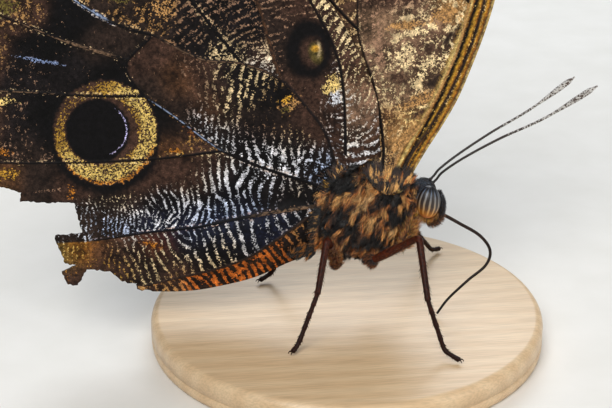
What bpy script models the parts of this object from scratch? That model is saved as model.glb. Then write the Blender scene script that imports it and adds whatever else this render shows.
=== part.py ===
"""Owl butterfly feeding with its wings closed, at life size, on a plain round base.

Sizes are in millimetres and become metres where a mesh is made. X points forward along the body,
Y to the butterfly's left and Z up. The origin is the middle of the base's underside.
A wing is drawn flat, as X and Z, and a function gives its distance from the middle plane.
"""
import math

import bmesh
import bpy
from mathutils import Matrix, Vector
from mathutils.geometry import delaunay_2d_cdt

for old in list(bpy.data.objects):
    bpy.data.objects.remove(old, do_unlink=True)

# Driving dimensions, in millimetres
MM = 0.001
GAP = 0.3
SHARP_ANGLE = 40

BASE_RADIUS = 31.0
BASE_HEIGHT = 5.0
BASE_SEGMENTS = 72
BASE_TOP_BEVEL = 1.2
BASE_FOOT_BEVEL = 0.4
BASE_TOP_ROUNDS = 3
BASE_FOOT_ROUNDS = 1
FEET_LEVEL = BASE_HEIGHT + GAP

THORAX_CENTRE = Vector((2.2, 0.0, 22.3))
THORAX_HALF = Vector((8.6, 4.3, 8.6))
THORAX_FRONT = 9.3
THORAX_BACK = -5.2
THORAX_SEGMENTS = (28, 18)
COXA_SEGMENTS = (12, 8)
HEAD_SEGMENTS = (24, 16)
COXA_HALF = Vector((1.7, 1.3, 1.9))
FORE_COXA = Vector((7.3, 1.7, 17.0))
MID_COXA = Vector((3.2, 2.3, 15.2))
HIND_COXA = Vector((-1.6, 2.2, 15.8))

ABDOMEN_FRONT = Vector((THORAX_BACK - GAP, 0.0, 21.3))
ABDOMEN_TIP = Vector((-27.5, 0.0, 15.4))
ABDOMEN_HALF_WIDTH = 2.8
ABDOMEN_HALF_HEIGHT = 3.2
ABDOMEN_SEGMENTS = 8
RINGS_PER_SEGMENT = 3
ABDOMEN_AROUND = 20
ABDOMEN_GROOVE = 0.955
ABDOMEN_SIZES = (0.74, 0.92, 1.0, 0.99, 0.93, 0.82, 0.68, 0.5, 0.24)

HEAD_CENTRE = Vector((11.7, 0.0, 23.4))
HEAD_HALF = Vector((2.3, 2.5, 2.8))
HEAD_SIDE = 1.15
HEAD_BACK = THORAX_FRONT + GAP
EYE_CENTRE = Vector((12.3, HEAD_SIDE + GAP, 23.35))
EYE_HALF = Vector((1.95, 2.0, 2.7))

PALP_LINE = [(12.5, 0.75, 20.0), (13.1, 0.9, 19.4), (14.0, 1.05, 19.9), (14.6, 1.05, 21.1),
             (14.85, 1.05, 22.6), (14.6, 1.0, 24.0)]
PALP_RADII = [0.3, 0.4, 0.45, 0.45, 0.42, 0.2]

ANTENNA_BASE = Vector((12.95, 0.8, 25.98))
ANTENNA_REACH = {"right": Vector((23.25, -6.2, 17.27)), "left": Vector((23.95, 6.5, 13.57))}
ANTENNA_BENDS = [(0.0, 0.0), (0.03, 0.05), (0.07, 0.125), (0.2, 0.27), (0.42, 0.47), (0.7, 0.69), (1.0, 1.0)]
ANTENNA_RADIUS = 0.26
CLUB_RADIUS = 0.5
CLUB_SHARE = 0.28

PROBOSCIS_RADIUS = 0.27
PROBOSCIS_LINE = [(13.55, 0.0, 21.0), (14.8, 0.0, 20.5), (17.5, -0.9, 19.1), (20.6, -1.9, 17.3),
                  (22.2, -2.6, 15.0), (21.5, -3.2, 12.7), (18.5, -3.9, 10.5), (15.4, -4.6, 7.9),
                  (13.6, -5.0, 5.62)]

WING_THICKNESS = 0.5
VEIN_HEIGHT = 0.2
VEIN_ROOT_WIDTH = 0.42
VEIN_TIP_WIDTH = 0.26
VEIN_STEP = 3.8
RIDGE_START = 0.2
FOREWING_REST = 0.5
HINGE_REACH = 0.75
WING_ROOM = 0.05
LAYER_ROOM = 0.1
LAYER = WING_THICKNESS + VEIN_HEIGHT + GAP + LAYER_ROOM
COVER_FROM_EDGE = (-3.5, -0.4)
COVER_FROM_THORAX = (0.95, 2.0)
ABDOMEN_SWELL_REACH = 1.6
ABDOMEN_SWELL_FALL = 4
SOFT_MAXIMUM = 10
CURVED_FROM = 2.1
CURVED_SPACING = 2.3
FLAT_SPACING = 5.2
ROW_SHARE = 0.87
CLEAR_SHARE = 0.38

# Forewing, drawn as (X, Z)
FOREWING_COSTA = [(9.5, 28.3), (11.6, 31.6), (14.2, 35.6), (16.5, 39.8), (18.5, 44.9), (20.3, 50.3),
                  (21.7, 55.8), (22.6, 62.5), (23.1, 70.0), (23.5, 77.5), (23.4, 85.0), (22.6, 91.0)]
FOREWING_APEX = [(22.6, 91.0), (21.2, 94.3), (18.6, 95.8), (15.6, 95.0)]
FOREWING_OUTER = [(15.6, 95.0), (11.5, 91.4), (5.5, 86.6), (-0.5, 81.9), (-6.3, 77.4), (-12.0, 73.0),
                  (-15.8, 69.9), (-17.6, 67.4), (-17.4, 64.8)]
FOREWING_INNER = [(-17.4, 64.8), (-12.0, 54.8), (-6.4, 44.6), (-1.2, 34.9), (1.4, 30.2), (3.2, 27.4)]
FOREWING_ROOT = [(3.2, 27.4), (5.0, 26.2), (7.3, 26.0), (8.9, 26.8), (9.5, 28.3)]
FOREWING_VEINS = {
    "subcosta": [(7.6, 28.2), (9.5, 31.6), (12.0, 35.2), (14.3, 39.2), (16.2, 43.1), (17.9, 47.0), (19.3, 52.0),
                 (20.4, 58.5), (21.5, 66.0), (22.4, 73.0)],
    "radius": [(5.9, 28.0), (7.9, 32.4), (10.6, 35.7), (12.7, 39.4), (14.6, 43.6), (16.3, 48.0), (17.5, 53.6),
               (18.6, 61.0), (19.7, 70.0), (20.5, 80.0), (20.9, 90.0)],
    "fifth_radial": [(17.5, 55.5), (17.3, 66.0), (17.6, 78.0), (18.3, 94.0)],
    "cell_end": [(17.7, 54.8), (14.5, 60.5), (10.2, 62.6), (5.4, 62.2), (1.4, 59.2)],
    "first_median": [(14.5, 60.5), (13.8, 70.0), (13.6, 80.0), (13.9, 92.5)],
    "second_median": [(10.2, 62.6), (8.6, 71.0), (7.4, 79.0), (6.7, 86.9)],
    "third_median": [(5.4, 62.2), (3.0, 69.0), (0.6, 76.0), (-1.0, 80.9)],
    "cubital_stem": [(4.6, 28.0), (5.1, 33.0), (4.4, 38.8), (3.5, 43.1), (2.0, 47.7), (1.1, 51.4), (1.0, 55.5),
                     (1.4, 59.2)],
    "first_cubital": [(1.4, 59.2), (-1.3, 64.0), (-4.6, 70.0), (-7.8, 75.6)],
    "second_cubital": [(1.1, 51.4), (-2.6, 55.6), (-7.4, 62.0), (-13.2, 71.0)],
    "anal": [(4.0, 28.8), (0.4, 36.2), (-5.2, 46.6), (-10.8, 56.8), (-16.2, 66.6)],
}

# Hindwing, drawn as (X, Z). Its tornus is torn away, a little further on the left side
HINDWING_COSTA = [(4.4, 32.6), (4.3, 36.6), (3.9, 40.8), (2.3, 45.3), (0.0, 50.4), (-3.2, 56.0), (-7.2, 61.4),
                  (-12.2, 66.9), (-18.2, 71.9), (-24.6, 75.2)]
HINDWING_OUTER = [(-24.6, 75.2), (-31.0, 75.6), (-37.8, 73.2), (-44.2, 69.0), (-49.6, 63.4), (-53.8, 56.8),
                  (-56.4, 49.6), (-57.1, 42.4), (-56.2, 35.4), (-54.6, 30.2)]
HINDWING_TEAR = {
    "right": [(-54.6, 30.2), (-52.4, 29.3), (-49.5, 28.3), (-49.8, 26.8), (-41.8, 26.2), (-40.9, 21.1),
              (-44.9, 20.9), (-44.9, 20.0), (-43.7, 16.2), (-41.9, 15.8), (-44.3, 14.8), (-43.5, 12.6),
              (-42.0, 12.4), (-40.5, 15.0), (-37.0, 14.5), (-35.2, 12.6), (-32.8, 12.2), (-33.0, 11.2),
              (-30.2, 10.6)],
    "left": [(-54.6, 30.2), (-51.8, 29.8), (-48.7, 28.8), (-48.2, 27.3), (-41.0, 26.7), (-40.2, 19.6),
             (-43.4, 18.9), (-42.9, 15.8), (-40.7, 15.1), (-41.4, 13.3), (-39.4, 13.6), (-36.3, 13.2),
             (-34.4, 12.0), (-32.2, 11.6), (-30.2, 10.6)],
}
HINDWING_ANAL = [(-30.2, 10.6), (-26.0, 10.4), (-21.9, 10.7), (-15.2, 12.1), (-9.6, 14.5), (-5.3, 15.8)]
HINDWING_ROOT = [(-5.3, 15.8), (-5.1, 20.0), (-4.4, 24.4), (-3.0, 27.6), (-0.6, 29.9), (2.2, 31.4), (4.4, 32.6)]
HINDWING_VEINS = {
    "subcosta": [(-0.9, 32.6), (-0.9, 38.5), (-1.4, 44.6), (-2.6, 49.2), (-4.8, 53.9), (-8.2, 59.8), (-13.0, 65.6),
                 (-19.0, 70.8)],
    "upper_cell": [(-2.2, 30.4), (-3.9, 35.9), (-6.9, 40.3), (-10.6, 44.6), (-16.2, 47.2), (-22.2, 48.2),
                   (-29.1, 52.1)],
    "radial_sector": [(-10.6, 44.6), (-12.1, 50.0), (-14.0, 57.0), (-17.6, 65.0), (-22.6, 73.4)],
    "first_median": [(-16.2, 47.2), (-20.9, 53.6), (-26.4, 61.6), (-33.6, 72.8)],
    "second_median": [(-29.1, 52.1), (-34.3, 54.0), (-40.1, 57.9), (-47.4, 64.2)],
    "third_median": [(-32.8, 48.4), (-41.0, 51.4), (-46.5, 54.0), (-52.9, 57.0)],
    "cell_end": [(-29.1, 52.1), (-32.8, 48.4), (-32.9, 46.4), (-30.7, 42.8)],
    "cubital_stem": [(-4.6, 27.2), (-12.2, 30.2), (-19.4, 33.6), (-26.1, 39.2), (-30.7, 42.8)],
    "first_cubital": [(-30.7, 42.8), (-38.6, 43.2), (-47.0, 44.1), (-56.1, 45.0)],
    "second_cubital": [(-19.4, 33.6), (-28.7, 32.8), (-37.6, 32.7), (-46.0, 32.9), (-54.9, 33.4)],
    "second_anal": [(-5.2, 24.2), (-11.8, 23.5), (-18.0, 22.4), (-24.0, 21.2), (-31.0, 20.7), (-39.2, 19.8)],
    "third_anal": [(-6.0, 22.9), (-9.0, 20.9), (-12.8, 18.4), (-16.3, 16.1), (-21.4, 14.1), (-26.6, 12.8),
                   (-31.4, 11.8)],
}

# Legs, from the coxa to the claws, each point as (X, Y, Z)
LEG_JOINTS = {
    "midleg_right": [(2.8, -4.7, 15.1), (9.5, -9.5, 21.1), (9.9, -15.6, 13.6), (12.1, -18.5, 6.4),
                     (14.1, -20.2, 5.62)],
    "midleg_left": [(4.6, 4.0, 13.5), (10.0, 9.0, 19.6), (13.8, 13.6, 10.8), (16.9, 16.8, 6.1),
                    (18.5, 18.2, 5.62)],
    "hindleg_right": [(-1.9, -4.0, 14.5), (-4.2, -7.4, 20.6), (-6.1, -11.2, 13.5), (-9.4, -13.9, 6.4),
                      (-10.4, -14.7, 5.62)],
    "hindleg_left": [(-1.9, 4.0, 14.5), (-5.2, 7.3, 20.0), (-7.9, 9.2, 12.6), (-11.0, 10.9, 6.2),
                     (-12.9, 9.9, 5.62)],
    "foreleg_right": [(8.0, -3.9, 16.8), (8.9, -3.7, 18.9), (9.6, -3.3, 20.8)],
    "foreleg_left": [(8.0, 3.9, 16.8), (8.9, 3.7, 18.9), (9.6, 3.3, 20.8)],
}
WALKING_RADII = [0.55, 0.52, 0.43, 0.36, 0.3]
FORELEG_RADII = [0.6, 0.65, 0.35]
JOINT_ROUNDING = 0.9

# Colour, roughness and metallic of each finish
FINISHES = {
    "wood": ((0.62, 0.47, 0.31), 0.5, 0.0),
    "fur": ((0.11, 0.07, 0.04), 0.9, 0.0),
    "wing": ((0.16, 0.11, 0.075), 0.75, 0.0),
    "eye": ((0.20, 0.16, 0.12), 0.25, 0.0),
    "limb": ((0.07, 0.04, 0.025), 0.55, 0.0),
}


def new_material(name, finish):
    """Plain material of one finish."""
    colour, roughness, metallic = FINISHES[finish]
    material = bpy.data.materials.new(name)
    material.use_nodes = True
    shader = material.node_tree.nodes["Principled BSDF"]
    shader.inputs["Base Color"].default_value = (*colour, 1.0)
    shader.inputs["Roughness"].default_value = roughness
    shader.inputs["Metallic"].default_value = metallic
    return material


def new_object(name, bm, finish):
    """Named object in metres from a bmesh in millimetres."""
    bmesh.ops.recalc_face_normals(bm, faces=bm.faces)
    bm.transform(Matrix.Scale(MM, 4))
    mesh = bpy.data.meshes.new(name)
    bm.to_mesh(mesh)
    bm.free()
    mesh.shade_smooth()
    mesh.set_sharp_from_angle(angle=math.radians(SHARP_ANGLE))
    mesh.materials.append(new_material(name, finish))
    thing = bpy.data.objects.new(name, mesh)
    bpy.context.scene.collection.objects.link(thing)
    return thing


def smooth_line(points, step):
    """Evenly spaced points on a smooth curve through the given points."""
    points = [Vector(point) for point in points]
    ends = [points[0] * 2 - points[1]], [points[-1] * 2 - points[-2]]
    padded = ends[0] + points + ends[1]
    parts = 12
    fine = []
    for a, b, c, d in zip(padded, padded[1:], padded[2:], padded[3:]):
        for part in range(parts):
            t = part / parts
            bend = (c - a) * t + (2 * a - 5 * b + 4 * c - d) * t ** 2 + (3 * b - a - 3 * c + d) * t ** 3
            fine.append(b + bend / 2)
    fine.append(points[-1])
    travelled = [0.0]
    for before, after in zip(fine, fine[1:]):
        travelled.append(travelled[-1] + (after - before).length)
    count = max(2, round(travelled[-1] / step))
    line = []
    place = 0
    for number in range(count + 1):
        wanted = travelled[-1] * number / count
        while place < len(fine) - 2 and travelled[place + 1] < wanted:
            place += 1
        share = (wanted - travelled[place]) / (travelled[place + 1] - travelled[place])
        line.append(fine[place].lerp(fine[place + 1], min(share, 1.0)))
    return line


def smooth_step(value, low, high):
    """Rises gently from 0 at low to 1 at high."""
    t = min(max((value - low) / (high - low), 0.0), 1.0)
    return t * t * (3 - 2 * t)


def between(values, share):
    """Value at a share of the way along a list of values."""
    place = share * (len(values) - 1)
    first = min(int(place), len(values) - 2)
    return values[first] + (values[first + 1] - values[first]) * (place - first)


def cut_flat(bm, place, outward):
    """Cuts away what lies outside a plane and closes the cut with a flat face."""
    everything = bm.verts[:] + bm.edges[:] + bm.faces[:]
    bmesh.ops.bisect_plane(bm, geom=everything, plane_co=place, plane_no=outward, clear_outer=True)
    rim = [edge for edge in bm.edges if edge.is_boundary]
    bmesh.ops.edgeloop_fill(bm, edges=rim)


def ellipsoid(centre, half, around, rows):
    """Closed ellipsoid whose poles point up and down."""
    bm = bmesh.new()
    bmesh.ops.create_uvsphere(bm, u_segments=around, v_segments=rows, radius=1.0)
    bm.transform(Matrix.Translation(centre) @ Matrix.Diagonal((*half, 1.0)))
    return bm


def rod(points, radii, resolution=2):
    """Round rod along points with a radius at each, as a bmesh."""
    curve = bpy.data.curves.new("rod", "CURVE")
    curve.dimensions = "3D"
    curve.bevel_depth = 1.0
    curve.bevel_resolution = resolution
    curve.use_fill_caps = True
    spline = curve.splines.new("POLY")
    spline.points.add(len(points) - 1)
    for spot, point, radius in zip(spline.points, points, radii):
        spot.co = (*point, 1.0)
        spot.radius = radius
    guide = bpy.data.objects.new("rod", curve)
    mesh = bpy.data.meshes.new_from_object(guide)
    bm = bmesh.new()
    bm.from_mesh(mesh)
    bmesh.ops.remove_doubles(bm, verts=bm.verts, dist=0.001)
    bpy.data.objects.remove(guide)
    bpy.data.meshes.remove(mesh)
    return bm


def join(target, bodies):
    """Unites closed bodies with the target object by one Boolean and applies it."""
    group = bpy.data.collections.new("bodies")
    for number, bm in enumerate(bodies):
        group.objects.link(new_object(f"body_{number}", bm, "fur"))
    union = target.modifiers.new("union", "BOOLEAN")
    union.operand_type = "COLLECTION"
    union.collection = group
    union.operation = "UNION"
    union.solver = "EXACT"
    graph = bpy.context.evaluated_depsgraph_get()
    joined = bpy.data.meshes.new_from_object(target.evaluated_get(graph))
    target.modifiers.clear()
    material = target.data.materials[0]
    target.data = joined
    joined.materials.clear()
    joined.materials.append(material)
    for thing in list(group.objects):
        bpy.data.objects.remove(thing)
    bpy.data.collections.remove(group)


def base():
    """Round base with an eased top edge."""
    bm = bmesh.new()
    place = Matrix.Translation((0.0, 0.0, BASE_HEIGHT / 2))
    bmesh.ops.create_cone(bm, cap_ends=True, segments=BASE_SEGMENTS, radius1=BASE_RADIUS, radius2=BASE_RADIUS,
                          depth=BASE_HEIGHT, matrix=place)
    for level, width, rounds in ((BASE_HEIGHT, BASE_TOP_BEVEL, BASE_TOP_ROUNDS),
                                 (0.0, BASE_FOOT_BEVEL, BASE_FOOT_ROUNDS)):
        rim = [edge for edge in bm.edges if all(abs(vert.co.z - level) < GAP / 10 for vert in edge.verts)]
        bmesh.ops.bevel(bm, geom=rim, offset=width, segments=rounds, profile=0.5, affect="EDGES")
    new_object("stand_base", bm, "wood")


def thorax():
    """Thorax with a flat neck and waist and the six coxae that the legs leave from."""
    bm = ellipsoid(THORAX_CENTRE, THORAX_HALF, *THORAX_SEGMENTS)
    cut_flat(bm, (THORAX_FRONT, 0.0, 0.0), (1.0, 0.0, 0.0))
    cut_flat(bm, (THORAX_BACK, 0.0, 0.0), (-1.0, 0.0, 0.0))
    body = new_object("thorax", bm, "fur")
    coxae = []
    for place in (FORE_COXA, MID_COXA, HIND_COXA):
        for side in (-1, 1):
            coxae.append(ellipsoid(Vector((place.x, side * place.y, place.z)), COXA_HALF, *COXA_SEGMENTS))
    join(body, coxae)


def abdomen_size(share):
    """Swelling of the abdomen from 0 at the waist to 1 at the tip, as a part of its fullest size."""
    return between(ABDOMEN_SIZES, share)


def abdomen():
    """Abdomen as rings along its axis, with a shallow groove between segments."""
    bm = bmesh.new()
    axis = ABDOMEN_TIP - ABDOMEN_FRONT
    count = ABDOMEN_SEGMENTS * RINGS_PER_SEGMENT
    rings = []
    for number in range(count + 1):
        share = number / count
        groove = ABDOMEN_GROOVE if number % RINGS_PER_SEGMENT == 0 and 0 < number < count else 1.0
        size = abdomen_size(share) * groove
        middle = ABDOMEN_FRONT + axis * share
        ring = []
        for turn in range(ABDOMEN_AROUND):
            angle = math.tau * turn / ABDOMEN_AROUND
            offset = Vector((0.0, math.sin(angle) * ABDOMEN_HALF_WIDTH, math.cos(angle) * ABDOMEN_HALF_HEIGHT))
            ring.append(bm.verts.new(middle + offset * size))
        rings.append(ring)
    for before, after in zip(rings, rings[1:]):
        for turn in range(ABDOMEN_AROUND):
            following = (turn + 1) % ABDOMEN_AROUND
            bm.faces.new((before[turn], before[following], after[following], after[turn]))
    bm.faces.new(rings[0])
    bm.faces.new(rings[-1])
    new_object("abdomen", bm, "fur")


def head():
    """Head as a thick slice between the eyes, flat where the neck joins it."""
    bm = ellipsoid(HEAD_CENTRE, HEAD_HALF, *HEAD_SEGMENTS)
    cut_flat(bm, (HEAD_BACK, 0.0, 0.0), (-1.0, 0.0, 0.0))
    for side in (-1, 1):
        cut_flat(bm, (0.0, side * HEAD_SIDE, 0.0), (0.0, side, 0.0))
    new_object("head", bm, "fur")


def eye(name, side):
    """Domed eye whose flat back lies against the head."""
    centre = Vector((EYE_CENTRE.x, side * EYE_CENTRE.y, EYE_CENTRE.z))
    bm = ellipsoid(centre, EYE_HALF, *HEAD_SEGMENTS)
    cut_flat(bm, centre, (0.0, -side, 0.0))
    new_object(name, bm, "eye")


def palp(name, side):
    """Feeler that curves up in front of the face."""
    points = smooth_line([(x, side * y, z) for x, y, z in PALP_LINE], 0.7)
    radii = [between(PALP_RADII, number / (len(points) - 1)) for number in range(len(points))]
    new_object(name, rod(points, radii), "fur")


def antenna(name, side, reach):
    """Thin antenna that leaves the head steeply, bends forward and ends in a slender club."""
    start = Vector((ANTENNA_BASE.x, side * ANTENNA_BASE.y, ANTENNA_BASE.z))
    bends = [start + Vector((reach.x * out, reach.y * out, reach.z * up)) for out, up in ANTENNA_BENDS]
    points = smooth_line(bends, 1.5)
    radii = []
    for number in range(len(points)):
        share = number / (len(points) - 1)
        swelling = smooth_step(share, 1 - CLUB_SHARE, 1 - CLUB_SHARE / 3)
        tip = 1 - 0.6 * smooth_step(share, 1 - CLUB_SHARE / 5, 1.0)
        radii.append((ANTENNA_RADIUS + (CLUB_RADIUS - ANTENNA_RADIUS) * swelling) * tip)
    new_object(name, rod(points, radii), "limb")


def proboscis():
    """Feeding tube that bends down from the face to the floor of the base."""
    points = smooth_line(PROBOSCIS_LINE, 1.3)
    bm = rod(points, [PROBOSCIS_RADIUS] * len(points))
    rest_on_base(bm)
    new_object("proboscis", bm, "limb")


def rest_on_base(bm):
    """Flattens whatever dips below the feet's level."""
    for vert in bm.verts:
        vert.co.z = max(vert.co.z, FEET_LEVEL)


def rounded_joints(joints, radii):
    """Leg line with a short curve at each joint, and the radius at each of its points."""
    joints = [Vector(joint) for joint in joints]
    line = [joints[0]]
    sizes = [radii[0]]
    for number in range(1, len(joints) - 1):
        here = joints[number]
        into = (joints[number - 1] - here).normalized() * JOINT_ROUNDING
        out = (joints[number + 1] - here).normalized() * JOINT_ROUNDING
        for share in (0.0, 0.25, 0.5, 0.75, 1.0):
            before = (here + into).lerp(here, share)
            after = here.lerp(here + out, share)
            line.append(before.lerp(after, share))
            sizes.append(radii[number])
    line.append(joints[-1])
    sizes.append(radii[-1])
    return line, sizes


def leg(name, joints, radii):
    """Leg as one tapering rod with flat soles."""
    points, sizes = rounded_joints(joints, radii)
    bm = rod(points, sizes)
    rest_on_base(bm)
    new_object(name, bm, "limb")


def thorax_reach(x, z):
    """Distance from the thorax's middle, seen from the side, in its own radii."""
    return math.hypot((x - THORAX_CENTRE.x) / THORAX_HALF.x, (z - THORAX_CENTRE.z) / THORAX_HALF.z)


def forewing_middle(x, z):
    """Half the space between the two forewings: close to the thorax, then nearly closed."""
    reach = thorax_reach(x, z)
    lean = GAP + WING_THICKNESS / 2 + WING_ROOM
    if reach < HINGE_REACH:
        return THORAX_HALF.y * math.sqrt(1 - reach ** 2) + lean
    depth = math.sqrt(1 - HINGE_REACH ** 2)
    start = THORAX_HALF.y * depth + lean - FOREWING_REST
    slope = THORAX_HALF.y * HINGE_REACH / depth
    return FOREWING_REST + start * math.exp((HINGE_REACH - reach) * slope / start)


def hindwing_middle(x, z):
    """Half the space between the hindwings, which lie outside the forewings and round the abdomen."""
    tornus = Vector(FOREWING_INNER[0])
    root = Vector(FOREWING_INNER[-1])
    along = (tornus - root).normalized()
    inside = (Vector((x, z)) - root).cross(along) * -1
    cover = max(smooth_step(-inside, *COVER_FROM_EDGE), smooth_step(thorax_reach(x, z), *COVER_FROM_THORAX))
    over_thorax = forewing_middle(x, z) + LAYER * cover
    front = ABDOMEN_FRONT.xz
    axis = ABDOMEN_TIP.xz - front
    share = min(max((Vector((x, z)) - front).dot(axis) / axis.length_squared, 0.0), 1.0)
    away = (Vector((x, z)) - front - axis * share).length / ABDOMEN_HALF_HEIGHT
    width = ABDOMEN_HALF_WIDTH * abdomen_size(share) + GAP + WING_THICKNESS / 2 + LAYER_ROOM
    round_abdomen = width / (1 + (away / ABDOMEN_SWELL_REACH) ** ABDOMEN_SWELL_FALL)
    return (over_thorax ** SOFT_MAXIMUM + round_abdomen ** SOFT_MAXIMUM) ** (1 / SOFT_MAXIMUM)


def distance_to_line(point, line):
    """Shortest distance from a flat point to a line of points, and the share of the line where it is."""
    best = (math.inf, 0.0)
    for number, (start, end) in enumerate(zip(line, line[1:])):
        along = end - start
        share = min(max((point - start).dot(along) / along.length_squared, 0.0), 1.0)
        away = (point - start - along * share).length
        if away < best[0]:
            best = (away, (number + share) / (len(line) - 1))
    return best


def is_inside(point, outline):
    """Whether a flat point lies inside a closed outline."""
    inside = False
    for start, end in zip(outline, outline[1:] + outline[:1]):
        if (start.y > point.y) != (end.y > point.y):
            crossing = start.x + (end.x - start.x) * (point.y - start.y) / (end.y - start.y)
            if point.x < crossing:
                inside = not inside
    return inside


def vein_width(share):
    """Half width of a vein at a share of its length."""
    return VEIN_ROOT_WIDTH + (VEIN_TIP_WIDTH - VEIN_ROOT_WIDTH) * share


def ridge(point, lines):
    """Height of the membrane's veins at a flat point."""
    height = 0.0
    for line in lines:
        away, share = distance_to_line(point, line)
        height = max(height, VEIN_HEIGHT * (1 - away / vein_width(share)))
    return height if height > VEIN_HEIGHT * RIDGE_START else 0.0


def vein_edges(line):
    """Both edges of a vein, which meet its crest at the two ends."""
    edges = [line[0]], [line[0]]
    for number in range(1, len(line) - 1):
        along = (line[number + 1] - line[number - 1]).normalized()
        across = Vector((-along.y, along.x)) * vein_width(number / (len(line) - 1))
        edges[0].append(line[number] + across)
        edges[1].append(line[number] - across)
    for edge in edges:
        edge.append(line[-1])
    return edges


def filling(outline, chains, middle):
    """Points inside the outline: close together where the wing curves, wide apart where it is flat."""
    lowest = Vector((min(p.x for p in outline), min(p.y for p in outline)))
    highest = Vector((max(p.x for p in outline), max(p.y for p in outline)))
    points = []
    for spacing, curved in ((CURVED_SPACING, True), (FLAT_SPACING, False)):
        rows = int((highest.y - lowest.y) / (spacing * ROW_SHARE)) + 1
        columns = int((highest.x - lowest.x) / spacing) + 2
        for row in range(rows):
            for column in range(columns):
                shift = spacing / 2 * (row % 2)
                point = lowest + Vector((column * spacing - shift, row * spacing * ROW_SHARE))
                if (middle(point.x, point.y) > CURVED_FROM) != curved or not is_inside(point, outline):
                    continue
                if min(distance_to_line(point, chain)[0] for chain in chains) > spacing * CLEAR_SHARE:
                    points.append(point)
    return points


def wing(name, side, outline, veins, middle):
    """Membrane with raised veins, split into the same triangles on both faces."""
    lines = [smooth_line(vein, VEIN_STEP) for vein in veins.values()]
    chains = [outline + outline[:1]]
    for line in lines:
        chains += [line, *vein_edges(line)]
    points = list(outline)
    edges = []
    for chain in chains[1:]:
        first = len(points)
        points += chain
        edges += [(number, number + 1) for number in range(first, len(points) - 1)]
    points += filling(outline, chains, middle)
    flat = delaunay_2d_cdt(points, edges, [list(range(len(outline)))], 1, 0.001)
    places, triangles = flat[0], flat[2]
    bm = bmesh.new()
    outer = []
    inner = []
    for place in places:
        centre = middle(place.x, place.y)
        reach = centre + WING_THICKNESS / 2
        outer.append(bm.verts.new((place.x, side * (reach + ridge(place, lines)), place.y)))
        inner.append(bm.verts.new((place.x, side * (reach - WING_THICKNESS), place.y)))
    borders = {}
    for a, b, c in triangles:
        bm.faces.new((outer[a], outer[b], outer[c]))
        bm.faces.new((inner[a], inner[c], inner[b]))
        for start, end in ((a, b), (b, c), (c, a)):
            if (end, start) in borders:
                del borders[end, start]
            else:
                borders[start, end] = True
    for start, end in borders:
        bm.faces.new((outer[end], outer[start], inner[start]))
        bm.faces.new((outer[end], inner[start], inner[end]))
    new_object(name, bm, "wing")


def closed_outline(stretches):
    """One closed outline from stretches, each a line of points or an even curve with a step."""
    outline = []
    for points, step in stretches:
        line = smooth_line(points, step) if step else [Vector(point) for point in points]
        outline += line[:-1]
    return outline


def wings():
    """Both forewings and both hindwings."""
    fore = closed_outline([(FOREWING_COSTA, 3.2), (FOREWING_APEX, 2.0), (FOREWING_OUTER, 3.6),
                           (FOREWING_INNER, 4.0), (FOREWING_ROOT, 1.6)])
    for word, side in (("right", -1), ("left", 1)):
        hind = closed_outline([(HINDWING_COSTA, 3.2), (HINDWING_OUTER, 3.4), (HINDWING_TEAR[word], None),
                               (HINDWING_ANAL, 2.2), (HINDWING_ROOT, 1.8)])
        wing(f"forewing_{word}", side, fore, FOREWING_VEINS, forewing_middle)
        wing(f"hindwing_{word}", side, hind, HINDWING_VEINS, hindwing_middle)


base()
thorax()
abdomen()
head()
proboscis()
for word, side in (("right", -1), ("left", 1)):
    eye(f"eye_{word}", side)
    palp(f"palp_{word}", side)
    antenna(f"antenna_{word}", side, ANTENNA_REACH[word])
for name, joints in LEG_JOINTS.items():
    leg(name, joints, FORELEG_RADII if name.startswith("foreleg") else WALKING_RADII)
wings()
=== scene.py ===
# %% [markdown]
# # An owl butterfly with its wings closed
# The solids of the butterfly are made elsewhere, and this script dresses them: wing scales,
# fur, eyes, legs and a wooden base. Everything starts from those solids, loaded here as a fixed frame.

# %% Load the solids
import math

import bmesh
import bpy
import numpy as np
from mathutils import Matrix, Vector
from mathutils.geometry import delaunay_2d_cdt


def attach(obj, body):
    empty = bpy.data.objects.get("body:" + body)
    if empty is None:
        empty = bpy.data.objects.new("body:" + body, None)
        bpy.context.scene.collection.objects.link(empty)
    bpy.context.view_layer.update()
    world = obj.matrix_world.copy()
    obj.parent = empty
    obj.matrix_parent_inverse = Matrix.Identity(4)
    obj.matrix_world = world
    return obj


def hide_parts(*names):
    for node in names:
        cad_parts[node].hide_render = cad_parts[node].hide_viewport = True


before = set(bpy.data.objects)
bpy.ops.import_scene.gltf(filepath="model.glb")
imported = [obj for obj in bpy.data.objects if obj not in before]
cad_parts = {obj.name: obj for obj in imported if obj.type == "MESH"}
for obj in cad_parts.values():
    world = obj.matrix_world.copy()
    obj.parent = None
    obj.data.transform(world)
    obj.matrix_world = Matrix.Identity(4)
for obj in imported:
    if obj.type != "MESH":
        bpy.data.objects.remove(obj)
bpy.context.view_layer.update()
print("solids loaded:", len(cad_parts), "nodes")

# %% [markdown]
# ## Camera
# The photograph was taken from the butterfly's right, a little from above, with a long lens close by.
# A camera can be aimed by building the direction that it looks from out of two angles and letting
# to_track_quat turn it into a rotation. This keeps the angles readable, unlike a typed rotation.

# %% Camera at the photograph's angle
MM = 0.001
CAMERA_AZIMUTH = math.radians(-7)
CAMERA_ELEVATION = math.radians(24)
CAMERA_TARGET = Vector((-6.5, 0.0, 23.3)) * MM
CAMERA_DISTANCE = 262 * MM
CAMERA_LENS = 100

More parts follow.
